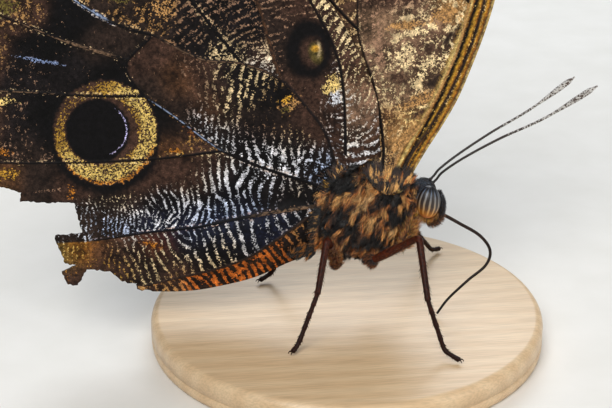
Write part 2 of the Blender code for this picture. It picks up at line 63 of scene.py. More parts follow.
scene = bpy.context.scene
towards_camera = Vector((math.sin(CAMERA_AZIMUTH) * math.cos(CAMERA_ELEVATION),
                         -math.cos(CAMERA_AZIMUTH) * math.cos(CAMERA_ELEVATION),
                         math.sin(CAMERA_ELEVATION)))
lens = bpy.data.cameras.new("camera")
lens.lens = CAMERA_LENS
lens.clip_start = 0.01
camera = bpy.data.objects.new("camera", lens)
camera.location = CAMERA_TARGET + towards_camera * CAMERA_DISTANCE
camera.rotation_euler = (-towards_camera).to_track_quat("-Z", "Y").to_euler()
scene.collection.objects.link(camera)
scene.camera = camera
print("camera at", [round(value, 3) for value in camera.location])

# %% [markdown]
# ## Small helpers for materials
# A finish is a short tree of nodes. Writing new, link and default_value for each one hides what
# the tree does, so one helper adds a node, sets its options and fills or links its inputs.

# %% Node helpers
MIX_INPUTS = (0, 6, 7)
MIX_RESULT = 2


def plug(tree, socket, value):
    """Links an output to an input, or sets the input's own value."""
    if isinstance(value, bpy.types.NodeSocket):
        tree.links.new(value, socket)
    else:
        socket.default_value = value


def add(tree, kind, options=None, **inputs):
    """Shader node of a kind; an input is a plain value or another node's output."""
    made = tree.nodes.new("ShaderNode" + kind)
    for option, value in (options or {}).items():
        setattr(made, option, value)
    for socket, value in inputs.items():
        plug(tree, made.inputs[socket.replace("_", " ")], value)
    return made


def calculate(tree, operation, *values):
    """One math node on up to three values."""
    made = add(tree, "Math", {"operation": operation})
    for socket, value in zip(made.inputs, values):
        plug(tree, socket, value)
    return made.outputs[0]


def blend_colours(tree, share, first, second, way="MIX"):
    """Colour mix whose share is a number or an output."""
    made = add(tree, "Mix", {"data_type": "RGBA", "blend_type": way})
    for number, value in zip(MIX_INPUTS, (share, first, second)):
        plug(tree, made.inputs[number], value)
    return made.outputs[MIX_RESULT]


def shaded(tree, colour, level):
    """Colour made darker or lighter by a level."""
    grey = add(tree, "CombineColor", Red=level, Green=level, Blue=level).outputs[0]
    return blend_colours(tree, 1.0, colour, grey, "MULTIPLY")


def ramp(tree, value, stops):
    """Colour ramp with (place, colour) stops."""
    made = add(tree, "ValToRGB", Fac=value)
    colours = made.color_ramp.elements
    while len(colours) < len(stops):
        colours.new(1.0)
    for element, (place, colour) in zip(colours, stops):
        element.position = place
        element.color = colour
    return made.outputs[0]


def rescale(tree, value, low, high, new_low=0.0, new_high=1.0, smooth=False):
    """Maps a range of values to another range."""
    kind = "SMOOTHSTEP" if smooth else "LINEAR"
    made = add(tree, "MapRange", {"interpolation_type": kind}, Value=value)
    for socket, limit in zip(list(made.inputs)[1:], (low, high, new_low, new_high)):
        socket.default_value = limit
    return made.outputs[0]


# %% Grain helpers
def object_place(tree):
    """Place on the object in metres, the same whatever the camera does."""
    return add(tree, "TexCoord").outputs["Object"]


def stored(tree, name, output="Fac"):
    """Value or colour stored on the mesh."""
    return add(tree, "Attribute", {"attribute_name": name}).outputs[output]


def noise(tree, scale, detail=3.0, place=None, **inputs):
    """Soft noise from 0 to 1, in waves per metre."""
    place = object_place(tree) if place is None else place
    return add(tree, "TexNoise", Vector=place, Scale=scale, Detail=detail, **inputs).outputs[0]


def grains(tree, scale, output="Distance"):
    """Small cells side by side, each with a colour of its own and a distance from its middle."""
    return add(tree, "TexVoronoi", Vector=object_place(tree), Scale=scale).outputs[output]


def grain_random(tree, scale, channel=0):
    """A random number for each small cell."""
    return add(tree, "SeparateColor", Color=grains(tree, scale, "Color")).outputs[channel]


# %% Start of a finish
def new_finish(name, roughness=0.6, **constants):
    """Material with its Principled shader; constant numbers go on the shader's own sockets."""
    material = bpy.data.materials.new(name)
    material.use_nodes = True
    shader = material.node_tree.nodes["Principled BSDF"]
    shader.inputs["Roughness"].default_value = roughness
    for socket, value in constants.items():
        shader.inputs[socket.replace("_", " ")].default_value = value
    return material, material.node_tree, shader


def raise_surface(tree, shader, height, depth, strength=0.6):
    """Bump of a depth in metres."""
    bump = add(tree, "Bump", Height=height, Distance=depth, Strength=strength)
    plug(tree, shader.inputs["Normal"], bump.outputs[0])


# %% Colours of the butterfly
def tone(red, green, blue):
    """Colour picked on a screen, 0 to 255, as the linear colour that a shader wants."""
    linear = []
    for part in (red, green, blue):
        part /= 255
        linear.append(part / 12.92 if part <= 0.04045 else ((part + 0.055) / 1.055) ** 2.4)
    return (*linear, 1.0)


SCREEN_TONES = {
    "black": (9, 8, 10), "soot": (22, 18, 19), "bark": (44, 33, 28), "umber": (66, 46, 37),
    "earth": (84, 56, 36), "fawn": (124, 98, 76), "rose": (146, 114, 92), "tan": (172, 130, 80),
    "gold": (196, 148, 52), "ochre": (166, 104, 32), "rust": (106, 52, 20), "straw": (214, 186, 116),
    "cream": (226, 202, 156), "snow": (206, 208, 216), "ice": (160, 178, 212), "dusk": (22, 27, 46),
    "slate": (92, 106, 124), "shadow": (34, 14, 9), "chestnut": (96, 42, 22), "peach": (240, 196, 138),
    "brass": (200, 172, 96), "bronze": (156, 120, 46), "sky": (112, 128, 164), "olive": (92, 82, 40),
    "flame": (186, 100, 40), "honey": (226, 174, 104), "amber": (178, 102, 40), "violet": (176, 174, 222),
}
TONES = {name: tone(*screen) for name, screen in SCREEN_TONES.items()}


def rgb(name):
    """A tone as an array of three numbers."""
    return np.array(TONES[name][:3])


print(len(TONES), "colours mixed")

# %% [markdown]
# ## Floor and light
# A museum photographs such a model on a pale sweep under large soft lights. A wide flat floor is enough
# here, as the camera looks down and never sees its edge. Area lights several times the size of the
# butterfly give soft shadows, and a faint grey world fills them.

# %% Pale floor
FLOOR_HALF = 3.0
floor_mesh = bpy.data.meshes.new("floor")
corners = [(-FLOOR_HALF, -FLOOR_HALF, 0), (FLOOR_HALF, -FLOOR_HALF, 0),
           (FLOOR_HALF, FLOOR_HALF, 0), (-FLOOR_HALF, FLOOR_HALF, 0)]
floor_mesh.from_pydata(corners, [], [(0, 1, 2, 3)])
floor = bpy.data.objects.new("floor", floor_mesh)
scene.collection.objects.link(floor)
floor_finish, tree, shader = new_finish("pale_floor", 0.75)
FLOOR_TONES = [(0.3, tone(226, 224, 219)), (0.7, tone(232, 230, 226))]
plug(tree, shader.inputs["Base Color"], ramp(tree, noise(tree, 90.0, 4.0), FLOOR_TONES))
floor_mesh.materials.append(floor_finish)
print("floor laid")

# %% Soft studio lights
LIGHTS = {
    "key_light": ((-0.20, -0.45, 0.50), 0.40, 3.6, (1.0, 0.98, 0.95)),
    "fill_light": ((0.45, -0.30, 0.22), 0.45, 1.2, (1.0, 0.93, 0.84)),
    "rim_light": ((0.10, 0.50, 0.45), 0.40, 2.6, (0.90, 0.95, 1.0)),
}
for name, (place, side, power, colour) in LIGHTS.items():
    lamp = bpy.data.lights.new(name, "AREA")
    lamp.size = side
    lamp.energy = power
    lamp.color = colour
    lamp_object = bpy.data.objects.new(name, lamp)
    lamp_object.location = place
    lamp_object.rotation_euler = (CAMERA_TARGET - Vector(place)).to_track_quat("-Z", "Y").to_euler()
    scene.collection.objects.link(lamp_object)
world = bpy.data.worlds.new("studio")
world.use_nodes = True
sky = world.node_tree.nodes["Background"].inputs
sky["Color"].default_value = (0.9, 0.95, 1.0, 1.0)
sky["Strength"].default_value = 0.22
scene.world = world
scene.view_settings.view_transform = "Standard"
print(len(LIGHTS), "lights set")

# %% [markdown]
# ## Lines and meshes as arrays
# The wings need tens of thousands of points, each with its distance to a dozen veins. Plain Python
# loops would take minutes, so the sums run on whole numpy arrays, and a mesh is filled from arrays.

# %% Smooth lines and distances
def unit(vectors):
    """Vectors of length one."""
    return vectors / np.maximum(np.linalg.norm(vectors, axis=-1, keepdims=True), 1e-9)


def travelled_along(line):
    """Distance from a line's start to each of its points."""
    return np.concatenate(([0.0], np.cumsum(np.linalg.norm(np.diff(line, axis=0), axis=1))))


def points_at(line, wanted):
    """Points at the wanted distances along a line."""
    travelled = travelled_along(line)
    return np.stack([np.interp(wanted, travelled, line[:, axis]) for axis in range(line.shape[1])], axis=1)


def smooth_line(points, step):
    """Evenly spaced points on a smooth curve through the given points."""
    points = np.array(points, float)
    padded = np.vstack((points[0] * 2 - points[1], points, points[-1] * 2 - points[-2]))
    t = (np.arange(12) / 12)[:, None]
    fine = []
    for a, b, c, d in zip(padded, padded[1:], padded[2:], padded[3:]):
        bend = (c - a) * t + (2 * a - 5 * b + 4 * c - d) * t ** 2 + (3 * b - a - 3 * c + d) * t ** 3
        fine.append(b + bend / 2)
    fine = np.vstack(fine + [points[-1:]])
    length = travelled_along(fine)[-1]
    return points_at(fine, np.linspace(0.0, length, max(2, round(length / step)) + 1))


def smooth_step(value, low, high):
    """Rises gently from 0 at low to 1 at high."""
    t = np.clip((value - low) / (high - low), 0.0, 1.0)
    return t * t * (3 - 2 * t)


def distance_to_line(x, z, line):
    """Distance of flat points to a line of points, and the share of the line where each is nearest."""
    nearest = np.full(x.shape, np.inf)
    place = np.zeros(x.shape)
    for number, (start, end) in enumerate(zip(line, line[1:])):
        along = end - start
        share = ((x - start[0]) * along[0] + (z - start[1]) * along[1]) / (along @ along)
        share = np.clip(share, 0.0, 1.0)
        away = np.hypot(x - start[0] - along[0] * share, z - start[1] - along[1] * share)
        closer = away < nearest
        nearest[closer] = away[closer]
        place[closer] = (number + share[closer]) / (len(line) - 1)
    return nearest, place


# %% Meshes from arrays
SIDES = (("right", -1), ("left", 1))


def new_piece(name, points, faces, finish, values=None, chart=None):
    """Visible piece from arrays in millimetres, with values on its points and a flat map for baking."""
    mesh = bpy.data.meshes.new(name)
    mesh.vertices.add(len(points))
    mesh.vertices.foreach_set("co", np.asarray(points, np.float32).ravel() * MM)
    mesh.loops.add(faces.size)
    mesh.loops.foreach_set("vertex_index", faces.ravel().astype(np.int32))
    mesh.polygons.add(len(faces))
    mesh.polygons.foreach_set("loop_start", np.arange(0, faces.size, 3, dtype=np.int32))
    mesh.update(calc_edges=True)
    mesh.polygons.foreach_set("use_smooth", np.full(len(faces), True))
    for label, data in (values or {}).items():
        kind, key = "FLOAT", "value"
        if data.ndim == 2:
            kind, key = "FLOAT_COLOR", "color"
            data = np.hstack((np.clip(data, 0, 1), np.ones((len(data), 1))))
        layer = mesh.attributes.new(label, kind, "POINT")
        layer.data.foreach_set(key, data.ravel().astype(np.float32))
    if chart is not None:
        layer = mesh.uv_layers.new(name="OFBake")
        layer.data.foreach_set("uv", chart.ravel().astype(np.float32))
    mesh.materials.append(finish)
    piece = bpy.data.objects.new(name, mesh)
    scene.collection.objects.link(piece)
    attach(piece, "root")
    return piece


print("array helpers ready")

# %% [markdown]
# ## Wings: outlines and veins
# A butterfly's wing is a dry double skin stretched over hollow veins. The outlines and vein paths below
# are the same driving lines that the solids were made from, drawn flat as (X, Z) in millimetres, and
# the same two formulas say how far each wing lies from the middle plane.

# %% Forewing lines
WING_THICKNESS = 0.5
FOREWING_COSTA = [
    (9.5, 28.3), (11.6, 31.6), (14.2, 35.6), (16.5, 39.8), (18.5, 44.9), (20.3, 50.3), (21.7, 55.8),
    (22.6, 62.5), (23.1, 70), (23.5, 77.5), (23.4, 85), (22.6, 91),
]
FOREWING_APEX = [(22.6, 91), (21.2, 94.3), (18.6, 95.8), (15.6, 95)]
FOREWING_OUTER = [
    (15.6, 95), (11.5, 91.4), (5.5, 86.6), (-0.5, 81.9), (-6.3, 77.4), (-12, 73), (-15.8, 69.9),
    (-17.6, 67.4), (-17.4, 64.8),
]
FOREWING_INNER = [(-17.4, 64.8), (-12, 54.8), (-6.4, 44.6), (-1.2, 34.9), (1.4, 30.2), (3.2, 27.4)]
FOREWING_ROOT = [(3.2, 27.4), (5, 26.2), (7.3, 26), (8.9, 26.8), (9.5, 28.3)]
FOREWING_VEINS = {
    "subcosta": [(7.6, 28.2), (9.5, 31.6), (12, 35.2), (14.3, 39.2), (16.2, 43.1), (17.9, 47), (19.3, 52),
        (20.4, 58.5), (21.5, 66), (22.4, 73)],
    "radius": [(5.9, 28), (7.9, 32.4), (10.6, 35.7), (12.7, 39.4), (14.6, 43.6), (16.3, 48), (17.5, 53.6),
        (18.6, 61), (19.7, 70), (20.5, 80), (20.9, 90)],
    "fifth_radial": [(17.5, 55.5), (17.3, 66), (17.6, 78), (18.3, 94)],
    "cell_end": [(17.7, 54.8), (14.5, 60.5), (10.2, 62.6), (5.4, 62.2), (1.4, 59.2)],
    "first_median": [(14.5, 60.5), (13.8, 70), (13.6, 80), (13.9, 92.5)],
    "second_median": [(10.2, 62.6), (8.6, 71), (7.4, 79), (6.7, 86.9)],
    "third_median": [(5.4, 62.2), (3, 69), (0.6, 76), (-1, 80.9)],
    "cubital_stem": [(4.6, 28), (5.1, 33), (4.4, 38.8), (3.5, 43.1), (2, 47.7), (1.1, 51.4), (1, 55.5),
        (1.4, 59.2)],
    "first_cubital": [(1.4, 59.2), (-1.3, 64), (-4.6, 70), (-7.8, 75.6)],
    "second_cubital": [(1.1, 51.4), (-2.6, 55.6), (-7.4, 62), (-13.2, 71)],
    "anal": [(4, 28.8), (0.4, 36.2), (-5.2, 46.6), (-10.8, 56.8), (-16.2, 66.6)],
}
print(len(FOREWING_VEINS), "forewing veins")

# %% Hindwing lines
HINDWING_COSTA = [
    (4.4, 32.6), (4.3, 36.6), (3.9, 40.8), (2.3, 45.3), (0, 50.4), (-3.2, 56), (-7.2, 61.4), (-12.2, 66.9),
    (-18.2, 71.9), (-24.6, 75.2),
]
HINDWING_OUTER = [
    (-24.6, 75.2), (-31, 75.6), (-37.8, 73.2), (-44.2, 69), (-49.6, 63.4), (-53.8, 56.8), (-56.4, 49.6),
    (-57.1, 42.4), (-56.2, 35.4), (-54.6, 30.2),
]
HINDWING_TEAR = {
    "right": [(-54.6, 30.2), (-52.4, 29.3), (-49.5, 28.3), (-49.8, 26.8), (-41.8, 26.2), (-40.9, 21.1),
        (-44.9, 20.9), (-44.9, 20), (-43.7, 16.2), (-41.9, 15.8), (-44.3, 14.8), (-43.5, 12.6), (-42, 12.4),
        (-40.5, 15), (-37, 14.5), (-35.2, 12.6), (-32.8, 12.2), (-33, 11.2), (-30.2, 10.6)],
    "left": [(-54.6, 30.2), (-51.8, 29.8), (-48.7, 28.8), (-48.2, 27.3), (-41, 26.7), (-40.2, 19.6),
        (-43.4, 18.9), (-42.9, 15.8), (-40.7, 15.1), (-41.4, 13.3), (-39.4, 13.6), (-36.3, 13.2),
        (-34.4, 12), (-32.2, 11.6), (-30.2, 10.6)],
}
HINDWING_ANAL = [(-30.2, 10.6), (-26, 10.4), (-21.9, 10.7), (-15.2, 12.1), (-9.6, 14.5), (-5.3, 15.8)]
HINDWING_ROOT = [(-5.3, 15.8), (-5.1, 20), (-4.4, 24.4), (-3, 27.6), (-0.6, 29.9), (2.2, 31.4), (4.4, 32.6)]
HINDWING_VEINS = {
    "subcosta": [(-0.9, 32.6), (-0.9, 38.5), (-1.4, 44.6), (-2.6, 49.2), (-4.8, 53.9), (-8.2, 59.8),
        (-13, 65.6), (-19, 70.8)],
    "upper_cell": [(-2.2, 30.4), (-3.9, 35.9), (-6.9, 40.3), (-10.6, 44.6), (-16.2, 47.2), (-22.2, 48.2),
        (-29.1, 52.1)],
    "radial_sector": [(-10.6, 44.6), (-12.1, 50), (-14, 57), (-17.6, 65), (-22.6, 73.4)],
    "first_median": [(-16.2, 47.2), (-20.9, 53.6), (-26.4, 61.6), (-33.6, 72.8)],
    "second_median": [(-29.1, 52.1), (-34.3, 54), (-40.1, 57.9), (-47.4, 64.2)],
    "third_median": [(-32.8, 48.4), (-41, 51.4), (-46.5, 54), (-52.9, 57)],
    "cell_end": [(-29.1, 52.1), (-32.8, 48.4), (-32.9, 46.4), (-30.7, 42.8)],
    "cubital_stem": [(-4.6, 27.2), (-12.2, 30.2), (-19.4, 33.6), (-26.1, 39.2), (-30.7, 42.8)],
    "first_cubital": [(-30.7, 42.8), (-38.6, 43.2), (-47, 44.1), (-56.1, 45)],
    "second_cubital": [(-19.4, 33.6), (-28.7, 32.8), (-37.6, 32.7), (-46, 32.9), (-54.9, 33.4)],
    "second_anal": [(-5.2, 24.2), (-11.8, 23.5), (-18, 22.4), (-24, 21.2), (-31, 20.7), (-39.2, 19.8)],
    "third_anal": [(-6, 22.9), (-9, 20.9), (-12.8, 18.4), (-16.3, 16.1), (-21.4, 14.1), (-26.6, 12.8),
        (-31.4, 11.8)],
}
print(len(HINDWING_VEINS), "hindwing veins")

# %% Body sizes that the wings follow
GAP = 0.3
THORAX_CENTRE = np.array((2.2, 0.0, 22.3))
THORAX_HALF = np.array((8.6, 4.3, 8.6))
ABDOMEN_FRONT = np.array((-5.5, 0.0, 21.3))
ABDOMEN_TIP = np.array((-27.5, 0.0, 15.4))
ABDOMEN_HALF_WIDTH = 2.8
ABDOMEN_HALF_HEIGHT = 3.2
ABDOMEN_SIZES = (0.74, 0.92, 1.0, 0.99, 0.93, 0.82, 0.68, 0.5, 0.24)


def thorax_reach(x, z):
    """Distance from the thorax's middle, seen from the side, in its own radii."""
    return np.hypot((x - THORAX_CENTRE[0]) / THORAX_HALF[0], (z - THORAX_CENTRE[2]) / THORAX_HALF[2])


def abdomen_size(share):
    """Swelling of the abdomen from 0 at the waist to 1 at the tip."""
    return np.interp(share * 8, np.arange(9), ABDOMEN_SIZES)


# %% How far each wing lies from the middle plane
FOREWING_REST = 0.5
HINGE_REACH = 0.75
LAYER = 1.1


def forewing_middle(x, z):
    """Half the space between the forewings: close to the thorax, then nearly closed."""
    reach = thorax_reach(x, z)
    lean = GAP + WING_THICKNESS / 2 + 0.05
    depth = math.sqrt(1 - HINGE_REACH ** 2)
    start = THORAX_HALF[1] * depth + lean - FOREWING_REST
    slope = THORAX_HALF[1] * HINGE_REACH / depth
    hinge = THORAX_HALF[1] * np.sqrt(np.clip(1 - reach ** 2, 0, 1)) + lean
    beyond = FOREWING_REST + start * np.exp((HINGE_REACH - reach) * slope / start)
    return np.where(reach < HINGE_REACH, hinge, beyond)


def hindwing_middle(x, z):
    """Half the space between the hindwings, outside the forewings and round the abdomen."""
    root = np.array(FOREWING_INNER[-1])
    along = np.array(FOREWING_INNER[0]) - root
    along = along / np.linalg.norm(along)
    inside = (z - root[1]) * along[0] - (x - root[0]) * along[1]
    cover = np.maximum(smooth_step(-inside, -3.5, -0.4), smooth_step(thorax_reach(x, z), 0.95, 2.0))
    over_thorax = forewing_middle(x, z) + LAYER * cover
    axis = (ABDOMEN_TIP - ABDOMEN_FRONT)[[0, 2]]
    front = ABDOMEN_FRONT[[0, 2]]
    share = np.clip(((x - front[0]) * axis[0] + (z - front[1]) * axis[1]) / (axis @ axis), 0.0, 1.0)
    away = np.hypot(x - front[0] - axis[0] * share, z - front[1] - axis[1] * share) / ABDOMEN_HALF_HEIGHT
    width = ABDOMEN_HALF_WIDTH * abdomen_size(share) + GAP + WING_THICKNESS / 2 + 0.1
    round_abdomen = width / (1 + (away / 1.6) ** 4)
    return (over_thorax ** 10 + round_abdomen ** 10) ** 0.1


print("wings lie", round(float(forewing_middle(10.0, 60.0)), 2), "mm from the middle plane at their tips")

# %% [markdown]
# ## Wing pattern: where the stripes run
# The underside of an owl butterfly's wing is laid out cell by cell: each cell between two veins has its own
# run of zebra stripes, ripples or speckle. One noise texture can't do that, because its grain has one
# direction. Here each cell gets a short list of places that say how the stripes lean there,
# how far apart they are, how much of the wing they cover and which two colours they part. The places
# are blended with soft weights, so the pattern turns smoothly inside a cell and breaks at its veins.

# %% Which cell a point is in
def line_height(line, x):
    """Height of a line at each X."""
    line = np.array(sorted(line))
    return np.interp(x, line[:, 0], line[:, 1])


def line_side(line, z):
    """X of a line at each height."""
    line = np.array(sorted(line, key=lambda point: point[1]))
    return np.interp(z, line[:, 1], line[:, 0])


def hindwing_cell(x, z):
    """Name of the cell at each flat point of the hindwing."""
    veins = HINDWING_VEINS
    upper = z > line_height(veins["upper_cell"] + veins["second_median"][1:], x)
    middle = z > line_height(veins["cubital_stem"] + veins["first_cubital"][1:], x)
    lower = z > line_height(veins["cubital_stem"][:3] + veins["second_cubital"][1:], x)
    return np.select(
        [upper & (x > line_side(veins["subcosta"], z)), upper & (x > line_side(veins["radial_sector"], z)),
         upper & (x > line_side(veins["first_median"], z)), upper,
         middle & (x > line_side(veins["cell_end"], z)), middle, lower,
         z > line_height(veins["second_anal"], x), z > line_height(veins["third_anal"], x)],
        ["costal", "spot", "ripple", "median", "disc", "outer", "eye", "cubital", "anal"], "margin")


def forewing_cell(x, z):
    """Name of the cell at each flat point of the forewing."""
    veins = FOREWING_VEINS
    return np.select(
        [x > line_side(veins["subcosta"], z), x > line_side(veins["radius"], z),
         (x > line_side(veins["cubital_stem"], z)) & (z < line_height(veins["cell_end"], x)),
         z > line_height(veins["anal"] + veins["cell_end"][1:-1], x)],
        ["edge", "strip", "disc", "fan"], "tail")


# %% Stripes of the hindwing's cells: X, Z, lean in degrees, spacing in mm, cover in percent, tones
# A place without tones, of the ground and of the marks, has those of the place before it.
HINDWING_PATTERN = {
    "costal": [(-0.2, 33.2, 80, 1.2, 50, "umber", "snow"), (1.2, 33.2, 82, 1.3, 50),
        (3.8, 37.5, 30, 0.9, 50), (1.3, 35.3, 75, 1.2, 40, "umber", "cream"), (0.4, 45.5, 30, 0.9, 30),
        (-0.8, 49, 40, 1, 45), (-2.2, 52.5, 35, 0.9, 45), (-3.5, 56, 35, 1, 45),
        (-0.3, 37.5, 85, 1.1, 50, "fawn", "snow"), (-0.6, 41, 80, 0.9, 45),
        (1.6, 38, 10, 1, 10, "rose", "tan"), (2.2, 41.5, 0, 1, 12, "rose", "cream"),
        (3.4, 40.5, 15, 0.8, 40), (3.6, 34.5, 35, 0.9, 45, "earth", "snow"),
        (2, 44, 40, 1, 40, "earth", "cream"), (-8, 62, 45, 1.1, 40, "umber", "tan"),
        (-15, 69, 50, 1.1, 40)],
    "spot": [(-2.6, 33.5, -60, 0.8, 25, "umber", "snow"), (-2.3, 36.6, -70, 0.95, 42),
        (-2.4, 40, 80, 0.6, 40), (-3.9, 38, 0, 1, 6, "umber", "tan"), (-14, 67, 70, 1.2, 30),
        (-5.5, 40.5, 0, 1, 6, "umber", "rose"), (-9, 43.6, 0, 1, 8), (-8, 55.5, 80, 1, 25),
        (-9.8, 47, 80, 0.8, 20, "bark", "rose"), (-10.8, 52.5, 75, 1, 30), (-11, 60, 75, 1.1, 30),
        (-19, 71, 65, 1.2, 30, "earth", "tan")],
    "ripple": [(-13.2, 45.9, 40, 1.1, 42, "umber", "snow"), (-12.2, 48, 88, 0.9, 45, "umber", "cream"),
        (-17.5, 48.8, 45, 0.8, 40, "soot", "cream"), (-14.5, 50.5, 75, 0.9, 34, "soot", "rose"),
        (-16.5, 53, 65, 0.95, 30), (-16, 56.5, 65, 1, 30), (-19, 56, 60, 1, 30),
        (-18.5, 62, 65, 1.1, 30, "bark", "tan"), (-24, 69, 60, 1.2, 30, "umber", "tan")],
    "median": [(-19, 49.5, 35, 0.85, 40, "soot", "cream"), (-22.5, 51, 50, 0.9, 12, "soot", "rose"),
        (-24, 54, 55, 1.3, 28), (-21.5, 54.5, 60, 1.1, 25), (-28, 54.5, 40, 1.1, 35, "bark", "tan"),
        (-31.5, 56.5, 30, 1.2, 25), (-37, 60, 20, 1.2, 12), (-27, 60, 55, 1.2, 25),
        (-30, 67, 50, 1.2, 25, "umber", "tan"), (-40, 66, 40, 1.2, 25)],
    "disc": [(-4.5, 31, -20, 1.1, 42, "soot", "ice"), (-5.5, 32.5, 25, 1.1, 50, "soot", "snow"),
        (-8, 32, -12, 1.25, 50), (-19, 36, 0, 0.8, 38), (-22, 38, 10, 0.6, 34),
        (-10.5, 33, -3, 1.3, 55, "black", "snow"), (-13, 32.6, -6, 1.55, 50), (-16, 33.9, -12, 1.1, 36),
        (-25.5, 40.5, 0, 0.6, 10, "bark", "rose"), (-15, 38.8, 0, 0.9, 12),
        (-29, 43.5, 0, 0.8, 4, "bark", "tan"), (-10.5, 36.8, 0, 1.1, 10),
        (-25.5, 45, 0, 0.7, 8, "earth", "rose"), (-20.5, 40.5, 0, 0.9, 12),
        (-29.5, 49, 0, 0.7, 8, "umber", "rose"), (-22.5, 46.5, -30, 0.8, 20), (-21, 43.5, 0, 1, 15),
        (-18.6, 45, 30, 1.2, 40, "soot", "cream"), (-16, 44.8, 8, 1.25, 42), (-14, 44.5, 5, 1.25, 36),
        (-18.5, 42, 0, 1.6, 45), (-15.5, 41.8, 20, 1.4, 35), (-8.5, 35, 10, 0.9, 20),
        (-18.7, 39.5, 0, 1.4, 40, "bark", "cream"), (-12, 41.8, 0, 1, 6, "black", "tan"),
        (-12.5, 38, -15, 1, 10, "soot", "rose"), (-15.5, 36.6, 0, 0.9, 22),
        (-7.3, 38, 0, 1.1, 4, "umber", "tan"), (-5.2, 35.6, 0, 1, 6),
        (-3.6, 29.6, 30, 1, 10, "black", "ice")],
    "outer": [(-36, 51.5, 0, 0.8, 4, "bark", "rose"), (-35, 46.5, 0, 0.8, 2, "black", "rose"),
        (-45, 50.5, 0, 0.9, 5), (-40, 55, 0, 0.9, 4), (-42, 46.5, 0, 0.8, 4, "soot", "rose"),
        (-47, 46.5, 5, 0.9, 12), (-48, 57, 0, 1, 30, "umber", "tan"), (-54, 50, 0, 1, 15)],
    "eye": [(-24.5, 37.3, 0, 0.7, 6, "bark", "tan"), (-22.3, 35, -40, 0.7, 20, "umber", "tan"),
        (-54, 39, 0, 0.8, 20), (-27, 38, 0, 0.7, 3, "soot", "tan"), (-28.5, 41, 0, 0.7, 2, "black", "tan"),
        (-26.5, 34.3, 0, 0.7, 10, "earth", "gold"), (-46, 38, 5, 0.7, 5, "black", "rose"),
        (-49.5, 38.5, 0, 0.8, 12, "soot", "rose"), (-49, 35, 0, 0.6, 18, "bark", "rose")],
    "cubital": [(-4.8, 25.9, 0, 1, 0, "black", "ice"), (-7.2, 27, -40, 1, 22, "soot", "cream"),
        (-8.8, 28, -25, 1, 45, "soot", "snow"), (-11.2, 28, 22, 1.9, 42), (-18.6, 30.6, 0, 1.4, 48),
        (-21.3, 29.4, -4, 1.5, 46), (-30.5, 25, -35, 0.75, 40), (-13.4, 28.2, 20, 2, 46, "black", "snow"),
        (-16.3, 28.4, 28, 1.7, 50), (-17, 25.6, -45, 0.9, 30), (-22, 26.3, -5, 1.1, 45),
        (-24.6, 25.6, -8, 1, 46), (-27.6, 25.2, -30, 0.85, 44),
        (-20.5, 32.4, -10, 1.1, 25, "umber", "cream"), (-23.6, 28.4, 20, 0.8, 20),
        (-9.5, 25.6, 0, 1, 3, "black", "rose"), (-13.5, 25.4, 0, 1, 12, "soot", "ice"),
        (-34, 23, 10, 0.6, 42), (-16, 24, 0, 1, 38, "dusk", "ice"), (-20, 23.8, -5, 1.05, 42),
        (-23.6, 23, 8, 0.9, 42), (-25.5, 22.6, 50, 0.8, 45, "dusk", "snow"), (-28, 22.4, 42, 0.8, 48),
        (-31, 22.6, 25, 0.7, 45), (-34, 25.4, -20, 0.55, 36, "bark", "cream"), (-37, 26.8, 0, 0.5, 24),
        (-37.5, 23, 0, 0.55, 38, "bark", "ice"), (-40.5, 23.5, 0, 0.6, 26, "bark", "snow"),
        (-32, 28.4, 0, 0.6, 2, "umber", "tan"), (-29.5, 31.6, 0, 0.6, 2), (-24, 32.2, 0, 0.6, 5),
        (-41, 29.5, 0, 0.6, 2), (-25.5, 29.8, 0, 0.6, 4, "umber", "rose"),
        (-47, 31, 0, 0.6, 3, "bark", "tan"), (-52, 31.5, 0, 0.6, 10, "earth", "gold")],
    "anal": [(-6.8, 23, 50, 1.3, 35, "black", "snow"), (-8.3, 22.4, -40, 1.3, 35),
        (-16, 18.6, -22, 1.35, 36), (-23, 18.6, -16, 1.2, 40), (-10.6, 21.4, -16, 1.5, 30, "dusk", "snow"),
        (-13, 20.6, -14, 1.5, 32), (-15.6, 20.4, -8, 1.4, 34), (-20.5, 20.4, -18, 1.15, 36),
        (-29, 20.2, -30, 0.75, 40), (-19.5, 17.8, -14, 1.3, 38, "black", "cream"),
        (-22.5, 15.6, -22, 1.3, 38, "soot", "cream"), (-26.6, 17, -26, 1.35, 38),
        (-25, 20, -30, 0.95, 40, "dusk", "ice"), (-29.5, 16.6, -22, 1.2, 40, "bark", "cream"),
        (-32.5, 17, -8, 1.1, 40), (-31.5, 13.6, -24, 1.1, 40), (-29.8, 18.9, -20, 0.9, 34, "rust", "cream"),
        (-33, 20.2, -20, 0.7, 38, "umber", "snow"), (-35.4, 17.2, -10, 0.95, 30, "umber", "tan"),
        (-26.5, 13.4, -24, 1.2, 36), (-35, 14.4, -20, 0.9, 38, "umber", "gold"), (-38.2, 15.9, 10, 0.5, 42),
        # Ochre, gold and straw near the torn lower flap: partly the wing's own colour, partly painted light
        # shining through the thin membrane.
        (-38.3, 18.4, 0, 0.7, 3, "earth", "tan"), (-41.5, 18.8, 5, 0.7, 35, "ochre", "gold"),
        (-43.6, 18, 8, 0.6, 35, "olive", "straw"), (-42.8, 14.2, 0, 0.6, 25, "umber", "ochre")],
    # Margin band: its rust and flame are partly the wing's own colour and partly painted orange light from
    # below.
    "margin": [(-8.2, 19.4, -26, 1.3, 34, "soot", "tan"), (-7, 17.4, -35, 1.1, 40, "soot", "rust"),
        (-10.5, 17.6, -24, 1.15, 50, "bark", "flame"), (-13.8, 16, -26, 1.1, 54),
        (-17, 14.4, -28, 1.05, 54), (-20.5, 12.8, -30, 1.05, 52), (-24, 12, -32, 1, 48),
        (-28, 11.6, -30, 1, 42, "umber", "tan")],
}
print(sum(len(places) for places in HINDWING_PATTERN.values()), "places on the hindwing")

